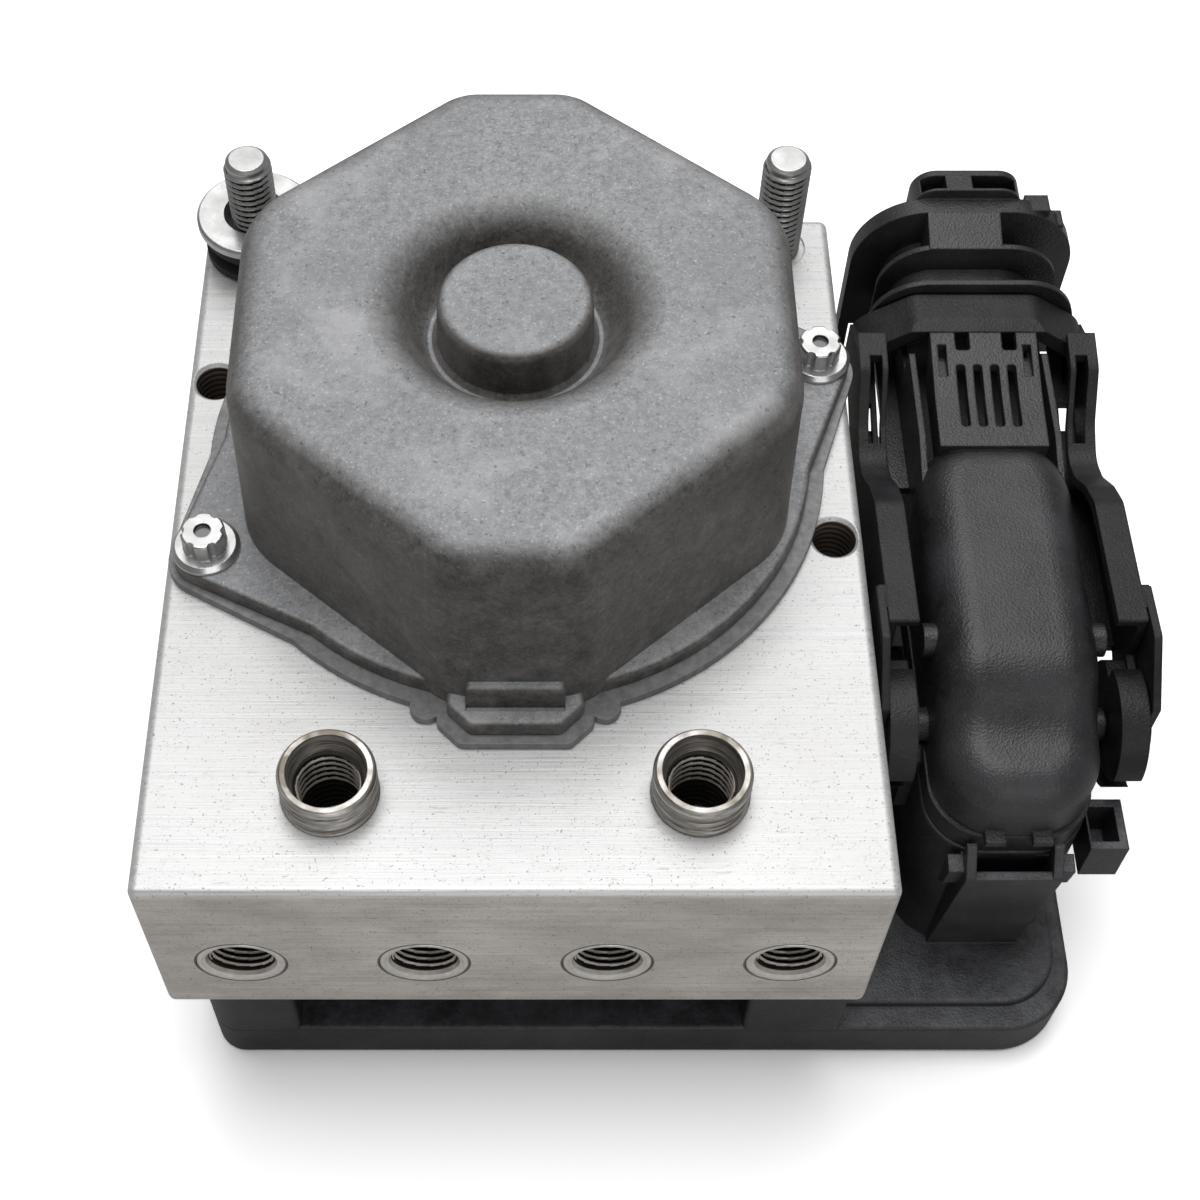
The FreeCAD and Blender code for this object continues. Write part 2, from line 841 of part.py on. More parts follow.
def field_magnets():
    ring = tube(magnet_outer_r, magnet_inner_r, magnet_height, 0, 0,
                core_z + (core_height - magnet_height) / 2)
    span = 360 / magnet_count - magnet_gap_deg
    pieces = []
    for i in range(magnet_count):
        foot = V(0, 0, ring.BoundBox.ZMin)
        wedge = Part.makeCylinder(magnet_outer_r + 1, magnet_height, foot, Z_AXIS, span)
        wedge.rotate(V(0, 0, 0), Z_AXIS, i * 360 / magnet_count + magnet_gap_deg / 2)
        pieces.append(ring.common(wedge))
    return Part.Compound([solid for piece in pieces for solid in piece.Solids])


def motor_shaft():
    low = block_top - chamber_floor_drop + 1.0
    top = boss_ceiling - 1.0
    step = top - top_bearing_length - 2.0
    body = [cyl(shaft_r, step - low, 0, 0, low), cyl(shaft_top_r, top - step, 0, 0, step)]
    body.append(cyl(eccentric_r, eccentric_height, 0, eccentric_offset, pump_z - eccentric_height / 2))
    return fuse(body)


def eccentric_bearing():
    return tube(ring_bearing_r, eccentric_r + 0.01, ring_bearing_height, 0, eccentric_offset,
                pump_z - ring_bearing_height / 2)


def rotor_core():
    body = tube(core_r, shaft_r + seat_gap, core_height, 0, 0, core_z)
    slots = []
    for i in range(core_slots):
        angle = i * 360 / core_slots
        deep = box(core_r - slot_depth, core_r - 2.5, -slot_width / 2, slot_width / 2, core_z, core_top)
        neck = box(core_r - 3.0, core_r + 1, -0.9, 0.9, core_z, core_top)
        slot = fuse([deep, neck])
        slot.rotate(V(0, 0, 0), Z_AXIS, angle)
        slots.append(slot)
    return cut(body, slots)


def rotor_windings():
    """Copper in the slots with a wound head above and below the core."""
    inner = shaft_r + 1.5
    outer = core_r - 2.5
    head = turned([(inner, core_top + seat_gap), (outer, core_top + seat_gap), (outer, core_top + 1.8),
                   (outer - 1.4, core_top + winding_overhang),
                   (inner + 1, core_top + winding_overhang)], 0, 0)
    foot = turned([(inner, core_z - seat_gap), (inner + 1, core_z - winding_overhang),
                   (outer - 1.4, core_z - winding_overhang), (outer, core_z - 1.8),
                   (outer, core_z - seat_gap)], 0, 0)
    bars = []
    for i in range(core_slots):
        bar = box(core_r - slot_depth + 0.3, core_r - 3.2, -slot_width / 2 + 0.3, slot_width / 2 - 0.3,
                  core_z - 1, core_top + 1)
        bar.rotate(V(0, 0, 0), Z_AXIS, i * 360 / core_slots)
        bars.append(bar)
    return fuse([head, foot] + bars)


def commutator():
    body = tube(commutator_r, shaft_r + seat_gap, commutator_height, 0, 0, commutator_z)
    slots = []
    for i in range(commutator_bars):
        slot = box(commutator_r - 1.5, commutator_r + 1, -0.3, 0.3, commutator_z,
                   commutator_z + commutator_height)
        slot.rotate(V(0, 0, 0), Z_AXIS, i * 360 / commutator_bars)
        slots.append(slot)
    return cut(body, slots)


def brush_plate():
    low = brush_plate_z
    top = low + brush_plate_thickness
    body = [tube(brush_plate_r, main_bearing_r - 2.0, brush_plate_thickness, 0, 0, low)]
    start = commutator_r + 2.0
    for i in range(brush_count):
        half = brush_width / 2 + 1.2
        guide = box(start, start + brush_length, -half, half, top - 0.1, top + brush_height)
        guide = guide.cut(box(start, start + brush_length, -brush_width / 2 - seat_gap,
                              brush_width / 2 + seat_gap,
                              top, top + brush_height))
        guide.rotate(V(0, 0, 0), Z_AXIS, 45 + i * 360 / brush_count)
        body.append(guide)
    plate = fuse(body)
    holes = [box(side * contact_spacing / 2 - contact_width / 2 - seat_gap,
                 side * contact_spacing / 2 + contact_width / 2 + seat_gap,
                 contact_y - 0.6, contact_y + 0.6, low - 1, top + 1) for side in (-1, 1)]
    return cut(plate, holes)


def carbon_brushes():
    low = brush_plate_z + brush_plate_thickness + seat_gap
    start = commutator_r + 0.3
    pieces = []
    for i in range(brush_count):
        brush = box(start, start + brush_length + 1.0, -brush_width / 2, brush_width / 2, low,
                    low + brush_height - 0.4)
        brush.rotate(V(0, 0, 0), Z_AXIS, 45 + i * 360 / brush_count)
        pieces.append(brush)
    return Part.Compound(pieces)


def top_bearing():
    low = boss_ceiling - top_bearing_length - 0.5
    return tube(top_bearing_r, shaft_top_r + running_gap, top_bearing_length, 0, 0, low)


def main_bearing():
    low = block_top - main_bearing_height
    return tube(main_bearing_r, shaft_r + running_gap, main_bearing_height - seat_gap, 0, 0, low)


def motor_contacts():
    low = board_z + board_thickness
    top = brush_plate_z + brush_plate_thickness + 1.0
    return Part.Compound([box(side * contact_spacing / 2 - contact_width / 2,
                              side * contact_spacing / 2 + contact_width / 2,
                              contact_y - 0.5, contact_y + 0.5, low, top) for side in (-1, 1)])


# Pump

def piston_tip():
    """Distance from the motor axis to a pump piston at rest, clear of the turning ring."""
    return ring_bearing_r + 2 * eccentric_offset + 0.15


def pump_piston(side):
    start = piston_tip()
    low = start if side > 0 else -start - piston_length
    body = cyl(piston_r, piston_length, low, 0, pump_z, X_AXIS)
    outer_end = start + piston_length
    bore_start = outer_end - 6.0 if side > 0 else -outer_end
    return body.cut(cyl(pump_spring_r - pump_spring_wire, 6.0, bore_start, 0, pump_z, X_AXIS))


def cylinder_start():
    return chamber_r + 1.0


def pump_cylinders():
    pieces = []
    for side in (-1, 1):
        low = cylinder_start() if side > 0 else -cylinder_start() - cylinder_length
        pieces.append(tube(cylinder_r, piston_r + running_gap, cylinder_length, low, 0, pump_z, X_AXIS))
    return Part.Compound(pieces)


def pump_plugs():
    pieces = []
    for side in (-1, 1):
        face = side * (block_half - 0.8)
        inward = V(-side, 0, 0)
        body = cyl(plug_r, plug_length - 0.8 - seat_gap, face, 0, pump_z, inward)
        nose_length = block_half - plug_length - cylinder_start() - cylinder_length
        nose = tube(cylinder_r, piston_r + 0.6, nose_length - seat_gap,
                    side * (block_half - plug_length + seat_gap),
                    0, pump_z, inward)
        body = fuse([body, nose])
        pieces.append(body.cut(hexagon(plug_hex, plug_hex_depth, face, 0, pump_z, inward)))
    return Part.Compound(pieces)


def pump_springs():
    """Return springs between each piston and its plug."""
    start = piston_tip() + piston_length + eccentric_offset + 0.1
    end = block_half - plug_length - seat_gap
    pieces = []
    for side in (-1, 1):
        spring = coil_spring(pump_spring_r, pump_spring_wire, pump_spring_turns, end - start)
        spring.rotate(V(0, 0, 0), Y_AXIS, 90 * side)
        spring.translate(V(side * start, 0, pump_z))
        pieces.append(spring)
    return Part.Compound(pieces)


# Accumulators

def accumulator_piston(side):
    top = block_bottom + accumulator_depth - free_gap
    low = top - accumulator_piston_length
    x = side * accumulator_x
    body = cyl(accumulator_r - running_gap, accumulator_piston_length, x, accumulator_y, low)
    hollow = cyl(accumulator_r - accumulator_piston_wall, accumulator_piston_length - accumulator_piston_wall,
                 x, accumulator_y, low)
    return body.cut(hollow)


def accumulator_spring_seat():
    return block_bottom + accumulator_cap_thickness


def accumulator_spring(side):
    low = accumulator_spring_seat() + seat_gap
    top = block_bottom + accumulator_depth - free_gap - accumulator_piston_wall - seat_gap
    spring = coil_spring(accumulator_spring_r, accumulator_spring_wire, accumulator_spring_turns, top - low)
    spring.translate(V(side * accumulator_x, accumulator_y, low))
    return spring


def accumulator_caps():
    return Part.Compound([cyl(accumulator_r - seat_gap, accumulator_cap_thickness, side * accumulator_x,
                              accumulator_y, block_bottom) for side in (-1, 1)])


# Valves and control unit

def valve(x, y):
    top = block_bottom + valve_sunk - 1.0
    dome_low = block_bottom - valve_dome_length
    profile = [(0, dome_low), (valve_dome_r - 1.0, dome_low), (valve_dome_r, dome_low + 1.0),
               (valve_dome_r, block_bottom + 1.0), (valve_body_r, block_bottom + 1.0),
               (valve_body_r, top - 2.0), (valve_body_r - 2.0, top), (0, top)]
    return turned(profile, x, y)


def valve_row(y):
    return Part.Compound([valve(x, y) for x in valve_x])


def coil_low():
    return ecu_height - ecu_wall - seat_gap - coil_length


def valve_coils():
    return Part.Compound([tube(coil_r, valve_dome_r + coil_bore_gap, coil_length, x, y, coil_low())
                          for x, y in valve_places()])


def base_outline(inset, z0, z1):
    points = [(ecu_left + inset, ecu_front + inset), (ecu_right - inset, ecu_front + inset),
              (ecu_right - inset, ecu_back - inset), (ecu_left + inset, ecu_back - inset)]
    radii = [max(r - inset, 0.5) for r in (ecu_left_corner_r, ecu_corner_r, ecu_corner_r, ecu_left_corner_r)]
    return plan_slab(points, radii, z0, z1)


def upper_outline(inset, z0, z1):
    left, right = ecu_left + inset, ledge_start - inset
    front, back = ecu_front + inset, ecu_back - inset
    deep = ecu_front + recess_depth + inset
    points = [(left, front), (recess_left - inset, front), (recess_left - inset, deep),
              (recess_right + inset, deep), (recess_right + inset, front), (right, front),
              (right, back), (left, back)]
    corner = max(ecu_left_corner_r - inset, 0.5)
    return plan_slab(points, [corner, 1.0, 1.0, 1.0, 1.0, 1.0, 1.5, corner], z0, z1)


def pad_slab():
    front = ecu_front + pad_border
    right = ecu_right - pad_side_border
    back = ecu_back - pad_border
    left = ledge_start - 1.0
    r = ecu_corner_r - pad_border / 2
    corners = [(left, front), (right, front), (right, back), (left, back)]
    return plan_slab(corners, [0, r, r, 0], ledge_top - 0.1, pad_top)


def shroud_outline(inset, z0, z1):
    half = shroud_half_width - inset
    r = shroud_corner_r - inset
    return rounded_box(plug_x - half, plug_x + half, shroud_front + inset, shroud_back - inset, z0, z1, r)


def front_pocket():
    """Leaning box on the front of the shroud, open at the top."""
    rim = shroud_front - pocket_reach
    foot = rim + pocket_lean
    top = shroud_top
    behind = shroud_front + shroud_wall / 2
    half = pocket_half_width
    cheek_back = shroud_front - 0.2
    profile = [(foot, pad_top - 0.1), (behind, pad_top - 0.1), (behind, top - 1), (cheek_back, top - 1),
               (cheek_back, top + pocket_cheek), (cheek_back - 0.8, top + pocket_cheek), (rim, top)]
    outer = side_slab(profile, [0, 0, 0, 0, 0, 0.7, 0.8], plug_x - half, plug_x + half)
    wing = half + pocket_wing
    wings = side_slab([(cheek_back, top - 9), (cheek_back, top), (cheek_back - 2.8, top - 0.6),
                       (cheek_back - 2.0, top - 6)], [0] * 4, plug_x - wing, plug_x + wing)
    outer = fuse([outer, wings])
    inner_half = half - pocket_wall
    low = pad_top + pocket_floor
    lean_here = foot + (rim - foot) * (low - pad_top) / (top - pad_top)
    hollow = side_slab([(lean_here + pocket_wall, low), (shroud_front, low), (shroud_front, top + 6),
                        (rim - 2, top + 6), (rim - 2, top), (rim + pocket_wall, top)], [0] * 6,
                       plug_x - inner_half, plug_x + inner_half)
    return outer, hollow


def shroud_ears_and_pegs():
    pieces = []
    for side in (-1, 1):
        inner = plug_x + side * (shroud_half_width - 0.2)
        outer = plug_x + side * (shroud_half_width + ear_thickness)
        x0, x1 = min(inner, outer), max(inner, outer)
        top = peg_z + peg_r + 0.1
        ear = side_slab([(pivot_y - ear_half_length, shroud_top - 12),
                         (pivot_y + ear_half_length, shroud_top - 12),
                         (pivot_y + ear_half_length, top - 2), (pivot_y + ear_half_length - 2, top),
                         (pivot_y - ear_half_length + 2, top), (pivot_y - ear_half_length, top - 2)],
                        [0, 0, 0.6, 0.6, 0.6, 0.6], x0, x1)
        length = peg_reach - shroud_half_width
        start = plug_x + shroud_half_width if side > 0 else plug_x - peg_reach
        pieces.append(ear)
        pieces.append(cyl(peg_r, length, start, pivot_y, peg_z, X_AXIS))
    return pieces


def side_pocket():
    """Small open box on the right side of the shroud."""
    top = shroud_top
    low = top - side_pocket_height
    wall = side_pocket_wall
    left = plug_x + shroud_half_width - 0.3
    right = plug_x + side_pocket_reach
    outer = box(left, right, side_pocket_front, side_pocket_back, low, top)
    hollow = box(left + 0.3, right - wall, side_pocket_front + wall, side_pocket_back - wall, low + wall,
                 top + 1)
    return outer.cut(hollow)


def pin_places():
    y_middle = (shroud_front + shroud_back) / 2
    places = []
    for row in range(contact_rows):
        for column in range(contact_columns):
            x = plug_x + (row - (contact_rows - 1) / 2) * contact_pitch_x
            y = y_middle + (column - (contact_columns - 1) / 2) * contact_pitch_y
            places.append((x, y))
    return places


def ecu_housing():
    base = base_outline(0, cover_thickness + seat_gap, ledge_top)
    base = rounded(base, 0.8, at_height(ledge_top))
    upper = upper_outline(0, ledge_top - 0.1, ecu_height)
    pad = rounded(pad_slab(), 0.7, at_height(pad_top))
    outer_shroud = shroud_outline(0, pad_top - 0.1, shroud_top)
    outer_shroud = rounded(outer_shroud, 0.5, at_height(shroud_top))
    pocket, pocket_hollow = front_pocket()
    body = fuse([base, upper, pad, outer_shroud, pocket, side_pocket()] + shroud_ears_and_pegs())
    low = cover_thickness
    tools = [base_outline(ecu_wall, low - 1, ledge_top - ecu_wall),
             upper_outline(ecu_wall, ledge_top - ecu_wall - 0.1, ecu_height - ecu_wall),
             shroud_outline(shroud_wall, pad_top + 1.0, shroud_top + 10), pocket_hollow]
    for x, y in valve_places():
        tools.append(cyl(valve_dome_r + 0.3, ecu_wall + 1, x, y, ecu_height - ecu_wall - 0.5))
    for side in (-1, 1):
        tools.append(cyl(accumulator_r + 0.5, ecu_wall + 1, side * accumulator_x, accumulator_y,
                         ecu_height - ecu_wall - 0.5))
    slot_half = contact_spacing / 2 + contact_width
    tools.append(box(-slot_half, slot_half, contact_y - contact_width, contact_y + contact_width,
                     ecu_height - ecu_wall - 0.5, ecu_height + 1))
    for x, y in pin_places():
        half = pin_width / 2 + seat_gap
        tools.append(box(x - half, x + half, y - half, y + half, ledge_top - ecu_wall - 1, pad_top + 2))
    body = cut(body, tools)
    posts = []
    post_low = screw_head_z + screw_head_height + seat_gap
    for x, y in screw_positions:
        posts.append(tube(screw_head_r + post_wall, screw_r + 0.2, ecu_height - post_low, x, y, post_low))
    body = fuse([body] + posts)
    holes = [cyl(screw_r + 0.2, ecu_height, x, y, 0) for x, y in screw_positions]
    return cut(body, holes)


def ecu_cover():
    plate = base_outline(0, 0, cover_thickness)
    plate = rounded(plate, 0.8, at_height(0))
    lip = base_outline(ecu_wall + seat_gap, cover_thickness - 0.1, cover_thickness + 1.2)
    lip = lip.cut(base_outline(ecu_wall + 1.6, cover_thickness - 0.2, cover_thickness + 1.3))
    return fuse([plate, lip])


def ecu_seal():
    outer = upper_outline(1.0, ecu_height + 0.02, block_bottom - 0.02)
    inner = upper_outline(3.0, ecu_height, block_bottom)
    return outer.cut(inner)


def circuit_board():
    inset = ecu_wall + 2.4
    board = base_outline(inset, board_z, board_z + board_thickness)
    holes = []
    for x, y in pin_places():
        half = pin_width / 2 + seat_gap
        holes.append(box(x - half, x + half, y - half, y + half, board_z - 1, board_z + board_thickness + 1))
    for x, y in screw_positions:
        holes.append(cyl(screw_head_r + 1.4, board_thickness + 2, x, y, board_z - 1))
    return cut(board, holes)


def header_pins():
    half = pin_width / 2
    pins = [box(x - half, x + half, y - half, y + half, board_z, pin_top) for x, y in pin_places()]
    return Part.Compound(pins)


def ecu_screws():
    pieces = []
    low = screw_head_z
    for x, y in screw_positions:
        head = cyl(screw_head_r, screw_head_height, x, y, low)
        shank = cyl(screw_r, block_bottom + screw_reach - 1.0 - low, x, y, low)
        socket = hexagon(4.0, 1.4, x, y, low, Z_AXIS)
        pieces.append(fuse([head, shank]).cut(socket))
    return Part.Compound(pieces)


# Plug

def plug_block(inset, z0, z1):
    half = plug_half_width - inset
    r = shroud_corner_r - shroud_wall - plug_side_gap - inset
    return rounded_box(plug_x - half, plug_x + half, plug_front + inset, plug_back - inset, z0, z1, r)


def plug_body():
    block = plug_block(0, plug_block_bottom, plug_flange_z + 0.1)
    flange = rounded_box(plug_x - shroud_half_width + 0.2, plug_x + shroud_half_width - 0.2,
                         shroud_front + 0.2,
                         shroud_back - 0.2, plug_flange_z, plug_top, shroud_corner_r)
    body = fuse([block, flange])
    groove = plug_block(-1.0, seal_z, seal_z + seal_height).cut(
        plug_block(seal_groove_depth, seal_z, seal_z + seal_height))
    half = cavity_width / 2
    tools = [groove]
    for x, y in pin_places():
        tools.append(box(x - half, x + half, y - half, y + half, plug_block_bottom - 1, plug_top + 1))
    return cut(body, tools)


def plug_seal():
    gap = seat_gap
    outer = plug_block(-0.1, seal_z + gap, seal_z + seal_height - gap)
    inner = plug_block(seal_groove_depth - gap, seal_z, seal_z + seal_height)
    ring = outer.cut(inner)
    third = seal_height / 3
    middle = plug_block(-1.0, seal_z + third + 0.2, seal_z + 2 * third - 0.2).cut(
        plug_block(0.4, seal_z, seal_z + seal_height))
    return ring.cut(middle)


def dome(inset):
    """Cable dome: rounded plan cut to a stepped side profile, moved inwards by inset."""
    half = cover_half_width - inset
    front = shroud_front + 0.4 + inset
    back = dome_end - inset
    low = cover_z
    left, right = plug_x - half, plug_x + half
    outline = [(cover_half_width, front - inset), (cover_half_width, dome_end - dome_taper_length),
               (dome_back_half, dome_end)]
    outline = shrunk(outline + [(-x, y) for x, y in reversed(outline)], inset)
    radii = [cover_front_corner_r, dome_taper_r, dome_back_corner_r]
    radii = [r - inset for r in radii + radii[::-1]]
    plan = plan_slab([(plug_x + x, y) for x, y in outline], radii, low, crest_back_z + 5)
    profile = [(front - 1, low), (back + 1, low), (back + 1, crest_back_z - inset),
               (crest_start + inset, crest_front_z - inset), (shoulder_end + inset, shoulder_z - inset),
               (front - 1, shoulder_z - 1.2 - inset)]
    body = plan.common(side_slab(profile, [0, 0, 0, cover_bend_r, cover_bend_r, 0], left - 1, right + 1))

    def top_rim(edge):
        limits = edge.BoundBox
        across = limits.YLength < 0.01 and limits.ZLength < 0.01
        inside = front + 0.1 < limits.YMin and limits.YMax < back - 0.1
        return limits.ZMin > low + 5 and not upright(edge) and not (across and inside)

    return body.makeFillet(cover_edge_r - inset, edges_where(body, top_rim))


def latch_panel():
    """Springy rear panel: slots, two end notches, side ribs and shallow grooves."""
    start = dome_end - latch_root
    top_back, top_front = latch_end_z, crest_back_z - latch_sink
    bend = dome_end + latch_bend
    outline = [(start, top_front - latch_thickness), (bend, top_front + 1.0 - latch_thickness),
               (latch_end, top_back - latch_thickness), (latch_end, top_back), (bend, top_front + 1.0),
               (start, top_front)]
    panel = side_slab(outline, [0, 0, 0, 0.4, 0, 0], plug_x - latch_half_width, plug_x + latch_half_width)
    rib_outline = [(start, top_front - 5.5), (latch_end - 5, top_front - 4.0),
                   (latch_end - 1.0, top_back - latch_thickness), (start, top_front - latch_thickness)]
    ribs = []
    for side in (-1, 1):
        x = plug_x + side * (latch_half_width - 0.6)
        ribs.append(side_slab(rib_outline, [0] * 4, x - 0.6, x + 0.6))
    body = fuse([panel] + ribs)
    tools = []
    for i in range(latch_slot_count):
        x = plug_x + (i - (latch_slot_count - 1) / 2) * latch_slot_pitch
        tools.append(rounded_box(x - latch_slot_width / 2, x + latch_slot_width / 2, latch_slot_front,
                                 latch_slot_front + latch_slot_length, top_front - 6, top_back + 3, 0.6))
    for x in (-3.5, 4.1):
        tools.append(rounded_box(plug_x + x - 1.2, plug_x + x + 1.2, latch_end - 3.4, latch_end + 2,
                                 top_front - 1.4, top_back + 3, 0.5))
    for side in (-1, 1):
        x = plug_x + side * 6.9
        tools.append(box(x - 0.7, x + 0.7, latch_end - 8.0, latch_end - 2.4, latch_end_z - 2.6,
                         latch_end_z + 1))
    return cut(body, tools)


def side_fins():
    """Low side walls that carry the cable outlet past the latch panel."""
    pieces = []
    start = dome_end - dome_back_corner_r
    for side in (-1, 1):
        outer = plug_x + side * fin_outer
        inner = plug_x + side * (fin_outer - fin_thickness)
        outline = [(start, cover_z), (outlet_start + 1.0, cover_z + 6), (outlet_start + 1.0, fin_low_top),
                   (fin_end, fin_low_top), (fin_end, fin_top), (start + 8.0, fin_top - 0.6),
                   (start, fin_top - 3)]
        pieces.append(side_slab(outline, [0, 0, 0, 0, 0.6, 3.0, 0], min(outer, inner), max(outer, inner)))
    return pieces


def arch(middle, half, top, foot, corner, y0, y1):
    outline = [(middle - half, foot), (middle - half, top), (middle + half, top), (middle + half, foot)]
    return front_slab(outline, [0, corner, corner, 0], y0, y1)


def cable_outlet():
    """Half-round cable outlet with three arched ribs, a centre saddle and an end loop."""
    middle = plug_x + rib_centre_shift
    end = rib_three_start + 0.1
    saddle = plug_x + saddle_shift
    parts = [arch(plug_x, tube_half, tube_top, rib_foot, rib_corner_r - 2, outlet_start, end),
             arch(middle, rib_one_half, rib_one_top, rib_foot, rib_corner_r, outlet_start,
                  outlet_start + rib_thickness),
             arch(middle, rib_two_half, rib_two_top, rib_foot, rib_corner_r, rib_two_start,
                  rib_two_start + rib_thickness),
             arch(middle, rib_three_half, rib_three_top, rib_three_foot, rib_corner_r + 3, rib_three_start,
                  rib_three_end),
             arch(plug_x + 0.4, loop_half, loop_top, rib_foot, 4.0, rib_three_end - 0.1, outlet_end),
             side_slab([(rib_two_start, tube_top - 1), (end, tube_top - 1), (end, rib_three_top),
                        (rib_two_start, rib_two_top)], [0] * 4, saddle - saddle_half, saddle + saddle_half)]
    body = fuse(parts)
    ceiling = tube_top - tube_wall
    tools = [arch(plug_x, tube_bore_half, ceiling, rib_three_foot - 1, rib_corner_r - 3, outlet_start - 1,
                  outlet_end + 1)]
    inner = rib_three_half - 1.8
    tools.append(box(middle - inner, middle + inner, rib_three_start - 1, rib_three_end + 1,
                     rib_three_foot - 1, rib_three_web))
    bar = plug_x + loop_bar_shift
    window_front = rib_three_end + 0.4
    window_back = outlet_end - loop_rim
    for x0, x1 in ((plug_x + 0.4 - loop_half + loop_rim, bar - loop_bar_half),
                   (bar + loop_bar_half, plug_x + 0.4 + loop_half - loop_rim)):
        tools.append(box(x0, x1, window_front, window_back, ceiling - 1, loop_top + 1))
    return cut(body, tools)


def wire_trough():
    """Floor that carries the wires from the dome to the end of the outlet."""
    top = trough_low + trough_thickness
    return [box(plug_x - trough_half, plug_x + trough_half, trough_start, outlet_start + 0.5, trough_low,
                top),
            box(plug_x - tube_half, plug_x + tube_half, outlet_start, outlet_end, trough_low, top)]


def outlet_tabs():
    """Two small catches on the right shoulder of the third rib."""
    return [box(plug_x + 10.2, plug_x + 14.2, rib_three_start + 1.0, rib_three_end + 1.4, rib_three_top - 4.0,
                rib_three_top - 0.6),
            box(plug_x + 14.3, plug_x + 17.0, rib_three_start + 0.6, rib_three_end + 0.8, rib_three_top - 7.0,
                rib_three_top - 3.6)]


def pivot_pins():
    pieces = []
    for side in (-1, 1):
        boss_start = plug_x + cover_half_width - 1.0 if side > 0 else plug_x - pivot_boss_reach
        pieces.append(cyl(pivot_boss_r, pivot_boss_reach - cover_half_width + 1.0, boss_start, pivot_y,
                          pivot_z, X_AXIS))
        pin_length = cam_outer - 0.4 - cover_half_width
        pin_start = plug_x + cover_half_width if side > 0 else plug_x - cam_outer + 0.4
        pieces.append(cyl(pivot_r, pin_length, pin_start, pivot_y, pivot_z, X_AXIS))
        lug_start = plug_x + cover_half_width - 1.0 if side > 0 else plug_x - cover_half_width - 1.6
        pieces.append(cyl(lug_stop_r, lug_stop_length, lug_start, pivot_y + 8.5, pivot_z + 11.0, X_AXIS))
    return pieces


def wire_cover():
    outer = dome(0)
    shell = outer.cut(dome(cover_wall))
    opening = box(plug_x - latch_half_width, plug_x + latch_half_width, dome_end - cover_wall - 0.5,
                  dome_end + 1,
                  cover_z, crest_back_z - latch_sink - latch_thickness)
    foot_tabs = [box(plug_x + x - 1.5, plug_x + x + 1.5, shroud_front - 1.4, shroud_front + 1.2,
                     cover_z, cover_z + 1.4)
                 for x in (-3.6, 3.6)]
    pieces = [shell.cut(opening), latch_panel(), cable_outlet()]
    pieces += side_fins() + outlet_tabs() + wire_trough() + pivot_pins() + foot_tabs
    return fuse(pieces)


# Lever

def cam_point(angle, offset):
    """Point of the spiral slot wall at a lever angle, moved sideways by offset, as (y, z)."""
    r = cam_start_r + cam_pitch * angle
    y, z = -r * math.sin(angle), -r * math.cos(angle)
    dy = -cam_pitch * math.sin(angle) - r * math.cos(angle)
    dz = -cam_pitch * math.cos(angle) + r * math.sin(angle)
    size = math.hypot(dy, dz)
    return pivot_y + y - dz / size * offset, pivot_z + z + dy / size * offset


def cam_slot(x0, x1):
    half = peg_r + cam_slot_gap
    open_angle = math.radians(lever_open_deg)
    steps = 8
    angles = [-0.02 + i * (open_angle + 0.32) / steps for i in range(steps + 1)]
    walls = []
    for offset in (half, -half):
        curve = Part.BSplineCurve()
        curve.interpolate([V(x0, *cam_point(angle, offset)) for angle in angles])
        walls.append(curve.toShape())
    first = [V(x0, *cam_point(angles[0], offset)) for offset in (half, -half)]
    last = [V(x0, *cam_point(angles[-1], offset)) for offset in (half, -half)]
    edges = [walls[0], Part.LineSegment(last[0], last[1]).toShape(), walls[1],
             Part.LineSegment(first[1], first[0]).toShape()]
    face = Part.Face(Part.Wire(Part.__sortEdges__(edges)))
    end = cyl(half, x1 - x0, x0, pivot_y, peg_z, X_AXIS)
    return [face.extrude(V(x1 - x0, 0, 0)), end]


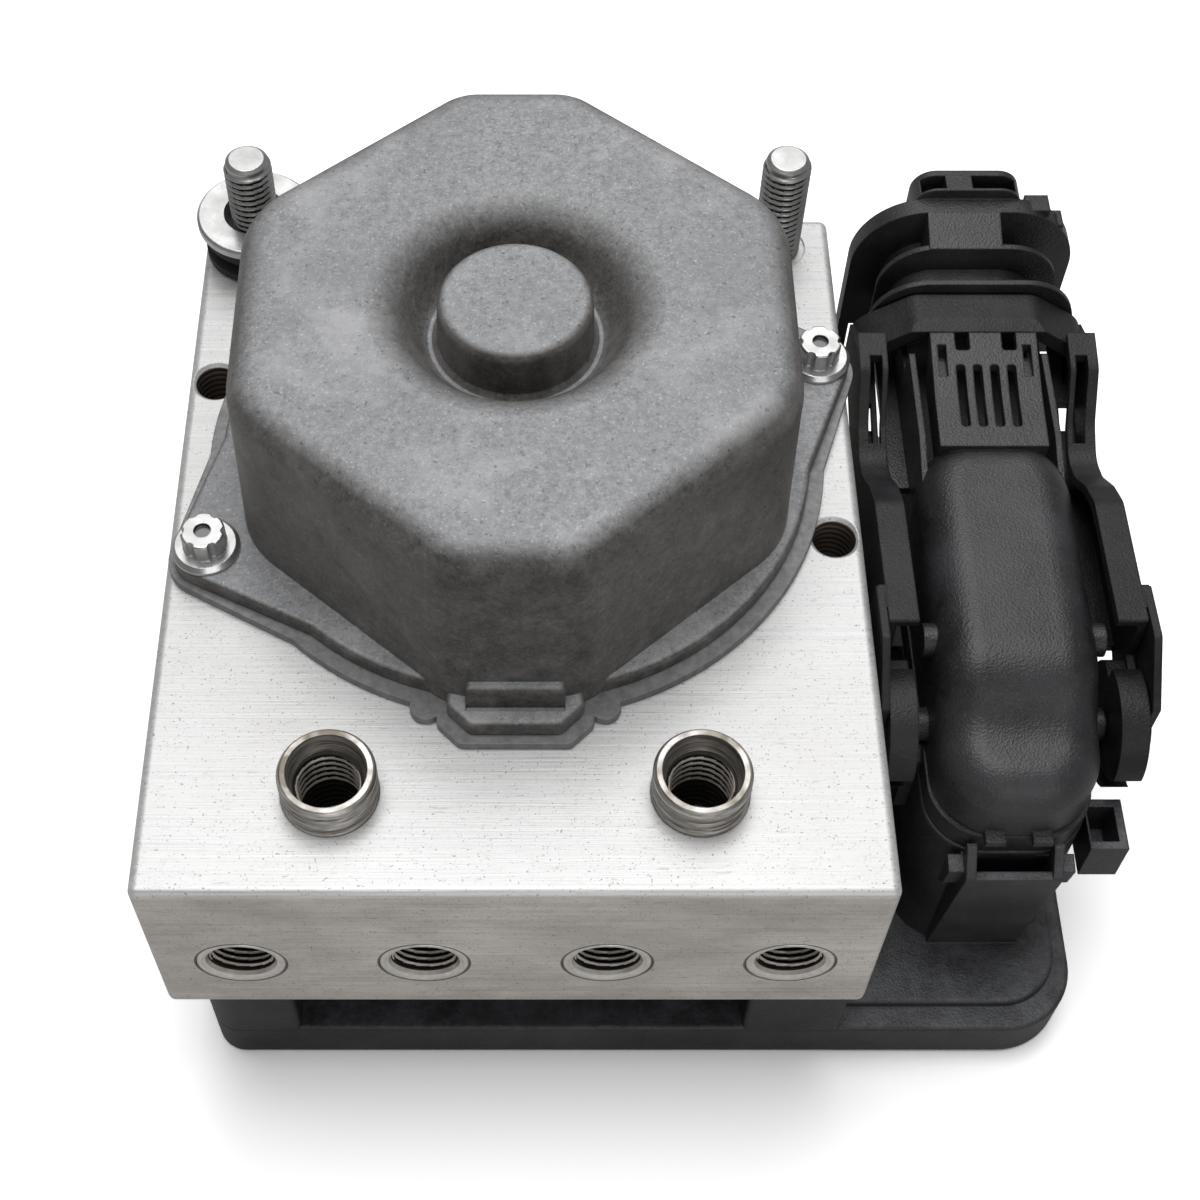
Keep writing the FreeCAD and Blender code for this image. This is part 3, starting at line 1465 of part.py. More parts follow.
def lever_side(side):
    """One arm with its rim, web, outer plate and cam disc, built on +X and mirrored for -X."""
    inner, outer = plug_x + arm_inner, plug_x + arm_outer
    rim_top = [(y, bow_top - drop) for y, drop in arm_top_line] + [(bow_front + 1.0, bow_top - 2.0)]
    rim_low = [(y, z - arm_rim) for y, z in reversed(rim_top)]
    radii = [0.5, 4.0, 4.0, 4.0, 5.0, 5.0, 3.0, 0]
    rim = side_slab(rim_top + rim_low, radii + [0] + [3.0, 5.0, 5.0, 4.0, 4.0, 4.0] + [0.5], inner, outer)
    web_back = [(bow_back, bow_top - 7.4), (bow_front, bow_top - 4.4)]
    web_back += [(y, z - 0.6) for y, z in reversed(rim_top[:-1])]
    web_front = [(arm_end_y - 0.5, 60.0), (pivot_y, pivot_z + 6.0), (pivot_y, pivot_z - 4.0)]
    web_points = web_back + web_front + arm_low_line
    web = side_slab(web_points, [0] * len(web_points), outer - arm_web, outer)
    flange_line = arm_low_line + [(y, z + arm_flange) for y, z in reversed(arm_low_line)]
    flange = side_slab(flange_line, [0] * len(flange_line), inner, outer)
    plate = side_slab([(side_web_end, 58.0), (side_web_end, 69.0), (arm_end_y - 3.0, 69.4),
                       (pivot_y - 3.5, pivot_z + 10.2), (pivot_y - 3.5, pivot_z + 3.0),
                       (pivot_y + 2.0, pivot_z)],
                      [0, 0.5, 1.5, 0.5, 0, 0], outer + 0.2, plug_x + side_web_outer)
    inner_end = arm_end_y + 2.5
    joint = side_slab([(side_web_end, 58.0), (side_web_end, 69.0), (inner_end, 69.0), (inner_end, 58.0)],
                      [0] * 4, outer - 0.1, plug_x + side_web_outer - 0.3)
    disc = cyl(cam_r, cam_outer - cam_inner, plug_x + cam_inner, pivot_y, pivot_z, X_AXIS)
    disc_link = cyl(6.0, side_web_outer - cam_outer + 0.1, plug_x + cam_outer - 0.1, pivot_y, pivot_z, X_AXIS)
    flat = box(plug_x + cam_inner - 1, plug_x + side_web_outer + 1, pivot_y + 4.6, pivot_y + cam_r + 1,
               pivot_z + 6.4, pivot_z + cam_r + 1)
    disc = disc.cut(flat)
    body = fuse([rim, web, flange, plate, joint, disc, disc_link])
    window = box(inner + window_wall, inner + window_wall + window_width, window_start, window_end,
                 arm_low_line[2][1] + arm_flange + 1, bow_top + 1)
    slots = cam_slot(plug_x + cam_inner - 1, plug_x + cam_outer)
    hole = cyl(pivot_r + pivot_gap, cam_outer - cam_inner + 1, plug_x + cam_inner - 1,
               pivot_y, pivot_z, X_AXIS)
    body = cut(body, [window, hole] + slots)
    return body if side > 0 else mirrored(body, plug_x)


def lever_bow():
    """Arched grip that joins the two arms over the cable outlet."""
    outer, inner = arm_outer, arm_outer - 2.6
    top, low = bow_top, 59.0
    knee = 67.0
    path = [(-outer, low), (-outer, knee), (-bow_flat_half - 0.6, top), (bow_flat_half + 0.6, top),
            (outer, knee),
            (outer, low), (inner, low), (inner, knee - 1.4), (bow_flat_half, top - bow_thickness),
            (-bow_flat_half, top - bow_thickness), (-inner, knee - 1.4), (-inner, low)]
    radii = [0, 6, 4, 4, 6, 0, 0, 5, 3, 3, 5, 0]
    bow = front_slab([(plug_x + x, z) for x, z in path], radii, bow_front, bow_back)
    slope = side_slab([(bow_front - 0.1, top - 0.7), (bow_front + 3.4, top + 0.3),
                       (bow_front - 0.1, top + 0.3)],
                      [0] * 3, plug_x - 25, plug_x + 25)
    return bow.cut(slope)


def lever():
    return fuse([lever_side(-1), lever_side(1), lever_bow()])


def build():
    return {
        "hydraulic_block": hydraulic_block(),
        "wheel_port_inserts": Part.Compound([port_insert(x) for x in front_port_x]),
        "master_port_sleeves": Part.Compound([port_sleeve(side) for side in (-1, 1)]),
        "mounting_studs": Part.Compound([mounting_stud(side) for side in (-1, 1)]),
        "isolator_sleeve": isolator_sleeve(),
        "isolator_rubber": isolator_rubber(),
        "motor_cover": motor_cover(),
        "motor_base_plate": motor_base_plate(),
        "motor_bolts": Part.Compound([motor_bolt(x, y) for x, y in bolt_points()]),
        "pole_ring": pole_ring(),
        "field_magnets": field_magnets(),
        "motor_shaft": motor_shaft(),
        "eccentric_bearing": eccentric_bearing(),
        "rotor_core": rotor_core(),
        "rotor_windings": rotor_windings(),
        "commutator": commutator(),
        "brush_plate": brush_plate(),
        "carbon_brushes": carbon_brushes(),
        "top_bearing": top_bearing(),
        "main_bearing": main_bearing(),
        "motor_contacts": motor_contacts(),
        "left_pump_piston": pump_piston(-1),
        "right_pump_piston": pump_piston(1),
        "pump_cylinders": pump_cylinders(),
        "pump_plugs": pump_plugs(),
        "pump_springs": pump_springs(),
        "left_accumulator_piston": accumulator_piston(-1),
        "right_accumulator_piston": accumulator_piston(1),
        "left_accumulator_spring": accumulator_spring(-1),
        "right_accumulator_spring": accumulator_spring(1),
        "accumulator_caps": accumulator_caps(),
        "inlet_valves": valve_row(inlet_row_y),
        "outlet_valves": valve_row(outlet_row_y),
        "valve_coils": valve_coils(),
        "ecu_housing": ecu_housing(),
        "ecu_cover": ecu_cover(),
        "ecu_seal": ecu_seal(),
        "circuit_board": circuit_board(),
        "header_pins": header_pins(),
        "ecu_screws": ecu_screws(),
        "plug_body": plug_body(),
        "plug_seal": plug_seal(),
        "wire_cover": wire_cover(),
        "lever": lever(),
    }


os.makedirs("parts", exist_ok=True)
for node, shape in build().items():
    shape.exportStep("parts/" + node + ".step")
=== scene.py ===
import json
import math

import bmesh
import bpy
from mathutils import Matrix, Vector


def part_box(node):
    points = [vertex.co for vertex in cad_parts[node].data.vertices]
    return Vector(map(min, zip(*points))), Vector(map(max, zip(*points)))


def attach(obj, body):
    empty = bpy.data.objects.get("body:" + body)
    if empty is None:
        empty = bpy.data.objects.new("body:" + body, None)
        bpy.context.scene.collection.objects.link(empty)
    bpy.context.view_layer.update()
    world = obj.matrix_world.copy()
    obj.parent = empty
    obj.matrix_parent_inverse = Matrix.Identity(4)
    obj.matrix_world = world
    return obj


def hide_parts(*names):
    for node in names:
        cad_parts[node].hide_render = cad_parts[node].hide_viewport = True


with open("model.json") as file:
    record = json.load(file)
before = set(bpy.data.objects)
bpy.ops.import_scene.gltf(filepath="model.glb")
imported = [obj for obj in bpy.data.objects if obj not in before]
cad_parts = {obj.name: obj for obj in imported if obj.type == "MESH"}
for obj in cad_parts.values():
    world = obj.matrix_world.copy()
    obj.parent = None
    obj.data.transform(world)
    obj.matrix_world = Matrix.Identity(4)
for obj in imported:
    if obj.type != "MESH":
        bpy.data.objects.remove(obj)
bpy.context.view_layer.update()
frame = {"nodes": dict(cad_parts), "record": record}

MM = 0.001
nodes = frame["nodes"]
block_low, block_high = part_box("hydraulic_block")
insert_low, insert_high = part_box("wheel_port_inserts")
port_z = (insert_low.z + insert_high.z) / 2
port_pitch = (insert_high.x - insert_low.x - (insert_high.z - insert_low.z)) / 3
bracket_hole_x, bracket_hole_y = block_high.x - 4.5 * MM, 15.7 * MM
bracket_hole_r, bracket_pitch = 3.44 * MM, 1.25 * MM
insert_seam_r = 6.98 * MM


# Materials

class Shader:
    """Short helper round one node material."""

    def __init__(self, name, color, roughness, metallic=0.0, specular=None):
        self.material = bpy.data.materials.new(name)
        self.material.use_nodes = True
        self.tree = self.material.node_tree
        self.bsdf = self.tree.nodes["Principled BSDF"]
        self.bsdf.inputs["Base Color"].default_value = (*color, 1.0)
        self.bsdf.inputs["Roughness"].default_value = roughness
        self.bsdf.inputs["Metallic"].default_value = metallic
        if specular is not None:
            self.bsdf.inputs["Specular IOR Level"].default_value = specular
        self.place = self.add("ShaderNodeTexCoord")

    def add(self, kind, **values):
        node = self.tree.nodes.new(kind)
        for key, value in values.items():
            setattr(node, key, value)
        return node

    def link(self, out, into):
        self.tree.links.new(out, into)

    def scaled(self, scale):
        mapping = self.add("ShaderNodeMapping")
        mapping.inputs["Scale"].default_value = scale
        self.link(self.place.outputs["Object"], mapping.inputs["Vector"])
        return mapping.outputs["Vector"]

    def noise(self, scale, detail=3.0, roughness=0.6, stretch=(1.0, 1.0, 1.0)):
        noise = self.add("ShaderNodeTexNoise")
        noise.inputs["Scale"].default_value = scale
        noise.inputs["Detail"].default_value = detail
        noise.inputs["Roughness"].default_value = roughness
        self.link(self.scaled(stretch), noise.inputs["Vector"])
        return noise.outputs["Fac"]

    def voronoi(self, scale):
        cells = self.add("ShaderNodeTexVoronoi", feature="SMOOTH_F1")
        cells.inputs["Scale"].default_value = scale
        self.link(self.scaled((1.0, 1.0, 1.0)), cells.inputs["Vector"])
        return cells.outputs["Distance"]

    def grey(self, factor, low, high, start=0.0, end=1.0):
        """Number from low to high while the factor goes from start to end."""
        span = self.add("ShaderNodeMapRange")
        span.inputs["From Min"].default_value = start
        span.inputs["From Max"].default_value = end
        span.inputs["To Min"].default_value = low
        span.inputs["To Max"].default_value = high
        self.link(factor, span.inputs["Value"])
        return span.outputs["Result"]

    def math(self, operation, first, second=None):
        node = self.add("ShaderNodeMath", operation=operation)
        for slot, value in ((0, first), (1, second)):
            if value is None:
                continue
            if isinstance(value, (int, float)):
                node.inputs[slot].default_value = value
            else:
                self.link(value, node.inputs[slot])
        return node.outputs["Value"]

    def fade(self, factor, start, end, first, second, share=1.0):
        """First colour while the factor is below start, second above end, at most by the share."""
        return self.mix(self.grey(factor, 0.0, share, start, end), first, second)

    def distance(self, u, v):
        return self.math("SQRT", self.math("ADD", self.math("MULTIPLY", u, u), self.math("MULTIPLY", v, v)))

    def mix(self, factor, first, second, blend="MIX"):
        node = self.add("ShaderNodeMix", data_type="RGBA", blend_type=blend)
        if isinstance(factor, (int, float)):
            node.inputs["Factor"].default_value = factor
        else:
            self.link(factor, node.inputs["Factor"])
        for key, value in (("A", first), ("B", second)):
            socket = [s for s in node.inputs if s.name == key and s.type == "RGBA"][0]
            if isinstance(value, tuple):
                socket.default_value = (*value, 1.0)
            else:
                self.link(value, socket)
        return [s for s in node.outputs if s.type == "RGBA"][0]

    def facing(self, axis):
        """How far the surface looks along an axis of the object, from -1 to 1."""
        geometry = self.add("ShaderNodeNewGeometry")
        split = self.add("ShaderNodeSeparateXYZ")
        self.link(geometry.outputs["Normal"], split.inputs["Vector"])
        return split.outputs[axis]

    def along(self, axis):
        """Place on one axis of the object, in metres."""
        split = self.add("ShaderNodeSeparateXYZ")
        self.link(self.place.outputs["Object"], split.inputs["Vector"])
        return split.outputs[axis]

    def color(self, socket):
        self.link(socket, self.bsdf.inputs["Base Color"])

    def roughness(self, socket):
        self.link(socket, self.bsdf.inputs["Roughness"])

    def edge_highlight_mask(self, radius, low=0.03, high=0.3):
        """0 on flat and gently bent faces, 1 on outer and inner edges."""
        bevel = self.add("ShaderNodeBevel", samples=4)
        bevel.inputs["Radius"].default_value = radius
        geometry = self.add("ShaderNodeNewGeometry")
        same = self.add("ShaderNodeVectorMath", operation="DOT_PRODUCT")
        self.link(bevel.outputs["Normal"], same.inputs[0])
        self.link(geometry.outputs["Normal"], same.inputs[1])
        return self.grey(self.math("SUBTRACT", 1.0, same.outputs["Value"]), 0.0, 1.0, low, high)

    def bump(self, height, strength, distance, radius=0.0):
        """Relief from a height, on top of a softened edge where radius is given."""
        bump = self.add("ShaderNodeBump")
        bump.inputs["Strength"].default_value = strength
        bump.inputs["Distance"].default_value = distance
        self.link(height, bump.inputs["Height"])
        if radius:
            bevel = self.add("ShaderNodeBevel", samples=4)
            bevel.inputs["Radius"].default_value = radius
            self.link(bevel.outputs["Normal"], bump.inputs["Normal"])
        self.link(bump.outputs["Normal"], self.bsdf.inputs["Normal"])


def shade(tone, times, plus=0.0):
    """Lighter or darker tone, at most white."""
    return tuple(min(1.0, c * times + plus) for c in tone)


def block_material():
    """Sawn and milled extrusion: fine lines along X, specks, threaded bracket holes painted dark as painted
    shade, outlined inserts.
    """
    s = Shader("block_aluminium", (0.58, 0.58, 0.575), 0.47, metallic=0.5)
    lines = s.noise(2400.0, 3.0, 0.8, (0.012, 1.0, 1.0))
    wide = s.noise(420.0, 4.0, 0.7, (0.03, 1.0, 1.0))
    patches = s.noise(34.0, 6.0, 0.65)
    specks = s.noise(2700.0, 2.0, 0.6)
    scratches = s.noise(1900.0, 2.0, 0.6, (0.12, 1.0, 1.0))
    mottle = s.noise(600.0, 5.0, 0.8)
    tone = s.fade(lines, 0.36, 0.64, (0.51, 0.51, 0.51), (0.70, 0.70, 0.70))
    tone = s.fade(wide, 0.42, 0.6, tone, (0.63, 0.63, 0.62), share=0.5)
    tone = s.fade(patches, 0.45, 0.72, tone, (0.535, 0.525, 0.51), share=0.45)
    tone = s.fade(mottle, 0.55, 0.75, tone, (0.47, 0.46, 0.45), share=0.6)
    tone = s.fade(specks, 0.645, 0.70, tone, (0.17, 0.16, 0.15), share=0.85)
    tone = s.fade(scratches, 0.66, 0.74, tone, (0.26, 0.25, 0.24), share=0.45)
    upright = s.grey(s.math("ABSOLUTE", s.facing("Z")), 1.0, 0.0, 0.05, 0.75)
    stain = s.noise(60.0, 6.0, 0.7, (0.5, 1.0, 1.0))
    front_tone = s.fade(stain, 0.34, 0.66, (1.29, 1.217, 1.135), (0.86, 0.80, 0.73))
    tone = s.mix(upright, tone, s.mix(1.0, tone, front_tone, "MULTIPLY"))

    # Painted shade: the walls of the tapped bracket holes are painted dark, darkest in the valleys of the
    # turns.
    hole_u = s.math("SUBTRACT", s.math("ABSOLUTE", s.along("X")), bracket_hole_x)
    hole_v = s.math("ADD", s.along("Y"), s.math("MULTIPLY", s.math("SIGN", s.along("X")), bracket_hole_y))
    near_hole = s.math("LESS_THAN", s.distance(hole_u, hole_v), bracket_hole_r)
    below = s.math("LESS_THAN", s.along("Z"), block_high.z - 0.1 * MM)
    inside = s.math("MULTIPLY", near_hole, below)
    turn = s.math("DIVIDE", s.math("ARCTAN2", hole_v, hole_u), 2 * math.pi)
    share = s.math("FRACT", s.math("SUBTRACT", s.math("DIVIDE", s.along("Z"), bracket_pitch), turn))
    thread = s.grey(s.math("ABSOLUTE", s.math("SUBTRACT", share, 0.5)), 0.0, 1.0, 0.05, 0.45)
    tone = s.mix(inside, tone, s.mix(thread, (0.05, 0.038, 0.03), (0.30, 0.26, 0.22)))

    from_edge = s.math("FLOORED_MODULO", s.math("ADD", s.along("X"), 2 * port_pitch), port_pitch)
    port_u = s.math("SUBTRACT", from_edge, port_pitch / 2)
    port_v = s.math("SUBTRACT", s.along("Z"), port_z)
    from_port = s.distance(port_u, port_v)
    front = s.math("LESS_THAN", s.along("Y"), block_low.y + 0.4 * MM)
    near_port = s.math("LESS_THAN", from_port, insert_seam_r)
    seam = s.math("MULTIPLY", near_port, s.math("MULTIPLY", upright, front))
    tone = s.mix(s.math("MULTIPLY", seam, 0.85), tone, (0.07, 0.06, 0.055))
    s.color(tone)
    s.roughness(s.grey(lines, 0.36, 0.56, 0.3, 0.7))
    relief = s.math("ADD", lines, s.math("MULTIPLY", wide, 0.6))
    relief = s.math("ADD", relief, s.math("MULTIPLY", s.math("MULTIPLY", inside, thread), 4.0))
    s.bump(relief, 0.16, 0.0002, 0.0003)
    return s.material


def cast_material():
    """Grey die casting: walls and steep dish slopes painted darker as painted shade, with a mottle, the walls
    facing along X a little less dark; fine pits and speckle, pale worn patches on top.
    """
    s = Shader("cast_cover", (0.27, 0.27, 0.275), 0.55, metallic=0.1, specular=0.35)
    speckle = s.noise(2300.0, 2.0, 0.8)
    pits = s.noise(1250.0, 2.0, 0.65)
    grain = s.noise(900.0, 5.0, 0.85)
    patch = s.noise(58.0, 5.0, 0.65)
    cloud = s.noise(21.0, 3.0, 0.5)
    tone = s.fade(grain, 0.36, 0.64, (0.19, 0.194, 0.2), (0.37, 0.372, 0.38))
    tone = s.fade(cloud, 0.42, 0.66, tone, (0.235, 0.238, 0.243), share=0.5)
    tone = s.fade(patch, 0.52, 0.68, tone, (0.44, 0.44, 0.45), share=0.7)
    tone = s.fade(speckle, 0.60, 0.72, tone, (0.58, 0.58, 0.59), share=0.8)
    tone = s.fade(pits, 0.62, 0.72, tone, (0.08, 0.08, 0.08), share=0.6)
    # Painted shade: faces that stand up, steep dish slopes included, are multiplied darker with a mottle;
    # walls facing along X are darkened less than the front.
    upright = s.grey(s.math("ABSOLUTE", s.facing("Z")), 1.0, 0.0, 0.66, 0.992)
    cast_skin = s.noise(230.0, 7.0, 0.8)
    wall_shade_and_smudge = s.fade(cast_skin, 0.37, 0.63, (0.20, 0.189, 0.172), (0.44, 0.42, 0.385))
    sideways = s.grey(s.math("ABSOLUTE", s.facing("X")), 0.0, 0.7, 0.35, 0.95)
    wall_shade_and_smudge = s.mix(sideways, wall_shade_and_smudge, (0.60, 0.575, 0.54))
    tone = s.mix(upright, tone, s.mix(1.0, tone, wall_shade_and_smudge, "MULTIPLY"))
    s.color(tone)
    s.roughness(s.grey(grain, 0.42, 0.6))
    s.bump(s.math("ADD", grain, s.math("SUBTRACT", speckle, pits)), 0.2, 0.00025, 0.0005)
    return s.material


def plate_material():
    """Dull rolled steel plate."""
    s = Shader("plate_steel", (0.2, 0.205, 0.205), 0.5, metallic=0.45)
    grain = s.noise(600.0, 4.0, 0.7)
    s.color(s.fade(grain, 0.36, 0.64, (0.15, 0.154, 0.154), (0.24, 0.24, 0.24)))
    s.bump(grain, 0.15, 0.0002, 0.0003)
    return s.material


def zinc_material(name="zinc_steel", sockets=()):
    """Bright zinc with faint turning lines and a slight cloud; sockets (x, y, radius, top) are painted dark
    grey as painted shade in the holes.
    """
    s = Shader(name, (0.72, 0.72, 0.71), 0.26, metallic=0.92)
    cloud = s.noise(220.0, 3.0, 0.6)
    turning = s.noise(1400.0, 2.0, 0.6, (0.1, 0.1, 1.0))
    tone = s.fade(cloud, 0.35, 0.7, (0.60, 0.60, 0.60), (0.42, 0.415, 0.405))
    # Painted shade: the recess of each bolt socket is painted dark grey.
    for x, y, radius, top in sockets:
        u, v = s.math("SUBTRACT", s.along("X"), x), s.math("SUBTRACT", s.along("Y"), y)
        near = s.math("LESS_THAN", s.distance(u, v), radius)
        socket_shade = s.math("MULTIPLY", near, s.math("LESS_THAN", s.along("Z"), top))
        tone = s.mix(socket_shade, tone, (0.15, 0.15, 0.15))
    s.color(tone)
    s.roughness(s.grey(cloud, 0.2, 0.38))
    s.bump(turning, 0.1, 0.0001, 0.0002)
    return s.material


def turned_material():
    """Plain turned steel, brownish in the fine tool lines that run round the piece."""
    s = Shader("turned_steel", (0.44, 0.425, 0.40), 0.36, metallic=0.75)
    turning = s.noise(1900.0, 3.0, 0.75, (0.06, 0.06, 1.0))
    cloud = s.noise(240.0, 4.0, 0.6)
    tone = s.fade(turning, 0.38, 0.62, (0.15, 0.13, 0.105), (0.66, 0.64, 0.61))
    tone = s.fade(cloud, 0.5, 0.75, tone, (0.24, 0.21, 0.18), share=0.6)
    s.color(tone)
    s.roughness(s.grey(cloud, 0.28, 0.45))
    s.bump(turning, 0.25, 0.0001, 0.0002)
    return s.material


def thread_material():
    """Cut steel of the crests and flanks of the turns."""
    s = Shader("thread_steel", (0.56, 0.53, 0.48), 0.4, metallic=0.4)
    cloud = s.noise(300.0, 3.0, 0.6)
    s.color(s.fade(cloud, 0.35, 0.7, (0.64, 0.60, 0.55), (0.36, 0.32, 0.27)))
    s.bump(cloud, 0.15, 0.0001)
    return s.material


def valley_shade_material():
    """Painted shade for the bottom of the turns and the deep bores: near black with a faint mottle."""
    s = Shader("painted_valley_shade", (0.014, 0.011, 0.009), 0.6, metallic=0.0, specular=0.2)
    cloud = s.noise(420.0, 3.0, 0.6)
    s.color(s.fade(cloud, 0.35, 0.7, (0.022, 0.018, 0.014), (0.008, 0.006, 0.005)))
    return s.material


def plastic_material(name, tone, rough, specular=0.5, dusty=0.0):
    """Moulded plastic: fine leather grain, a painted highlight on the edges, a slight bloom; dusty is the
    film on top faces.
    """
    edge_r = 0.4 * MM
    s = Shader(name, tone, rough, specular=specular)
    cells = s.voronoi(2900.0)
    grain = s.noise(3500.0, 2.0, 0.7)
    cloud = s.noise(48.0, 6.0, 0.7)
    dust = s.noise(1900.0, 2.0, 0.6)
    light, dark, speck = shade(tone, 2.6, 0.006), shade(tone, 0.55), shade(tone, 5.0, 0.02)
    tint = s.fade(cloud, 0.36, 0.66, dark, light)
    tint = s.fade(dust, 0.6, 0.75, tint, speck, share=0.5)
    if dusty:
        top = s.grey(s.facing("Z"), 0.0, dusty, 0.6, 0.95)
        film = s.grey(s.noise(150.0, 7.0, 0.8), 0.1, 1.0, 0.42, 0.6)
        tint = s.mix(s.math("MULTIPLY", top, film), tint, (0.085, 0.088, 0.098))
    # Painted highlight: outer and inner edges are lightened towards a paler tone.
    edge_highlight = s.math("MULTIPLY", s.edge_highlight_mask(edge_r), 0.55)
    s.color(s.mix(edge_highlight, tint, shade(tone, 3.2, 0.01)))
    s.roughness(s.grey(cloud, rough - 0.08, rough + 0.08))
    s.bump(s.math("ADD", s.math("MULTIPLY", cells, 1.2), grain), 0.55, 0.0001, edge_r)
    return s.material


def plain_metal(name, tone, rough, metallic=0.9, scale=500.0):
    """Metal of one tone with a faint grain."""
    s = Shader(name, tone, rough, metallic=metallic)
    grain = s.noise(scale, 3.0, 0.6)
    s.color(s.fade(grain, 0.3, 0.7, shade(tone, 0.88), shade(tone, 1.1)))
    s.roughness(s.grey(grain, rough - 0.06, rough + 0.08))
    s.bump(grain, 0.08, 0.0001)
    return s.material


def rubber_material():
    """Black rubber, a little dusty."""
    s = Shader("black_rubber", (0.035, 0.034, 0.033), 0.72, specular=0.35)
    grain = s.noise(900.0, 3.0, 0.6)
    dust = s.noise(120.0, 3.0, 0.6)
    s.color(s.fade(dust, 0.5, 0.8, (0.028, 0.027, 0.026), (0.09, 0.085, 0.08), share=0.5))
    s.bump(grain, 0.2, 0.0001)
    return s.material


def board_material():
    """Green circuit board with the tracks as lighter bands."""
    s = Shader("board_green", (0.03, 0.16, 0.07), 0.35, specular=0.5)
    tracks = s.noise(260.0, 1.0, 0.3, (1.0, 0.2, 1.0))
    s.color(s.fade(tracks, 0.48, 0.56, (0.025, 0.13, 0.055), (0.06, 0.24, 0.11)))
    s.bump(tracks, 0.05, 0.0001)
    return s.material


def winding_material():
    """Copper wire, strand by strand."""
    s = Shader("copper", (0.66, 0.30, 0.14), 0.35, metallic=0.85)
    strands = s.noise(700.0, 2.0, 0.6, (1.0, 1.0, 0.2))
    s.color(s.fade(strands, 0.35, 0.65, (0.48, 0.19, 0.08), (0.76, 0.38, 0.2)))
    s.bump(strands, 0.35, 0.0003)
    return s.material


shell_black, lever_black = (0.0105, 0.0107, 0.0118), (0.0065, 0.0067, 0.0075)
materials = {
    "block_aluminium": block_material(),
    "zinc_steel": zinc_material(),
    "cast_cover": cast_material(),
    "plate_steel": plate_material(),
    "black_plastic": plastic_material("black_plastic", shell_black, 0.42),
    "inner_plastic": plastic_material("inner_plastic", (0.09, 0.09, 0.1), 0.5),
    "black_rubber": rubber_material(),
    "inner_steel": plain_metal("inner_steel", (0.5, 0.5, 0.51), 0.32),
    "ferrite": plain_metal("ferrite", (0.1, 0.1, 0.11), 0.6, metallic=0.2),
    "copper": winding_material(),
    "bronze": plain_metal("bronze", (0.55, 0.38, 0.2), 0.4),
    "carbon": plain_metal("carbon", (0.05, 0.05, 0.05), 0.55, metallic=0.1),
    "board_green": board_material(),
    "tinned_pin": plain_metal("tinned_pin", (0.74, 0.72, 0.68), 0.28),
}
turned_steel = turned_material()
seat_steel = plain_metal("seat_steel", (0.74, 0.71, 0.66), 0.3, metallic=0.45, scale=900.0)
thread_steel = thread_material()
painted_valley_shade = valley_shade_material()

bolt_low, bolt_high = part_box("motor_bolts")
bolt_flange_r, bolt_socket_r = 5.25 * MM, 1.34 * MM
socket_top = bolt_high.z - 0.2 * MM
bolt_sockets = [(bolt_low.x + bolt_flange_r, bolt_low.y + bolt_flange_r, bolt_socket_r, socket_top),
                (bolt_high.x - bolt_flange_r, bolt_high.y - bolt_flange_r, bolt_socket_r, socket_top)]
own_look = {
    "motor_bolts": zinc_material("zinc_bolts", bolt_sockets),
    "ecu_housing": plastic_material("dusty_plastic", shell_black, 0.46, dusty=0.8),
    "lever": plastic_material("lever_plastic", lever_black, 0.5, specular=0.34),
}

for part in frame["record"]["subparts"]:
    obj = nodes[part["node"]]
    obj.data.materials.clear()
    obj.data.materials.append(own_look.get(part["node"], materials[part["material_slot"]]))


# Turned pieces with real thread turns

# Looks of the faces of turned pieces; the third is painted shade for the valleys and deep bores.
OUTSIDE, CUT, VALLEY_SHADE = 0, 1, 2


def thread_height(turns):
    """0 at the root and 1 at the crest of a rounded V thread."""
    share = turns - math.floor(turns)
    wave = 1 - abs(2 * share - 1)
    return min(1.0, max(0.0, (wave - 0.12) / 0.76))


def turned_rows(rows, radius_at, segments):
    """Grid of a turned surface from rows of (height, radius); radius None takes radius_at(angle, height)."""
    grid = []
    for height, steady in rows:
        ring = []
        for k in range(segments):
            angle = 2 * math.pi * k / segments
            r = steady if steady is not None else radius_at(angle, height)
            ring.append((r * math.cos(angle), r * math.sin(angle), height))
        grid.append(ring)
    return grid


def mesh_from_grid(name, grid, matrix, close=True):
    """Smooth object from rings of points; close joins the last ring to the first."""
    mesh = bpy.data.meshes.new(name)
    segments = len(grid[0])
    points = [p for ring in grid for p in ring]
    faces = []
    rows = len(grid)
    last = rows if close else rows - 1
    for i in range(last):
        j = (i + 1) % rows
        for k in range(segments):
            after = (k + 1) % segments
            near, far = i * segments, j * segments
            faces.append((near + k, near + after, far + after, far + k))
    mesh.from_pydata(points, [], faces)
    mesh.transform(matrix)
    work = bmesh.new()
    work.from_mesh(mesh)
    bmesh.ops.remove_doubles(work, verts=work.verts, dist=1e-7)
    bmesh.ops.recalc_face_normals(work, faces=work.faces)
    work.to_mesh(mesh)
    work.free()
    obj = bpy.data.objects.new(name, mesh)
    bpy.context.scene.collection.objects.link(obj)
    for polygon in mesh.polygons:
        polygon.use_smooth = True
    mesh.set_sharp_from_angle(angle=math.radians(32))
    return obj


def helix_rows(low, high, pitch, steps=14):
    """Heights from low to high with so many steps to each turn."""
    count = max(2, int(round((high - low) / pitch * steps)))
    return [low + (high - low) * i / count for i in range(count + 1)]


def add_materials(obj, outside, x, y, along_y, choose):
    """Looks of a turned piece; choose(radius, centre) gives plain outside, cut steel or the painted valley
    shade for each face.
    """
    for material in (outside, thread_steel, painted_valley_shade):
        obj.data.materials.append(material)
    for polygon in obj.data.polygons:
        centre = polygon.center
        radius = math.hypot(centre.x - x, (centre.z if along_y else centre.y) - y)
        polygon.material_index = choose(radius, centre)


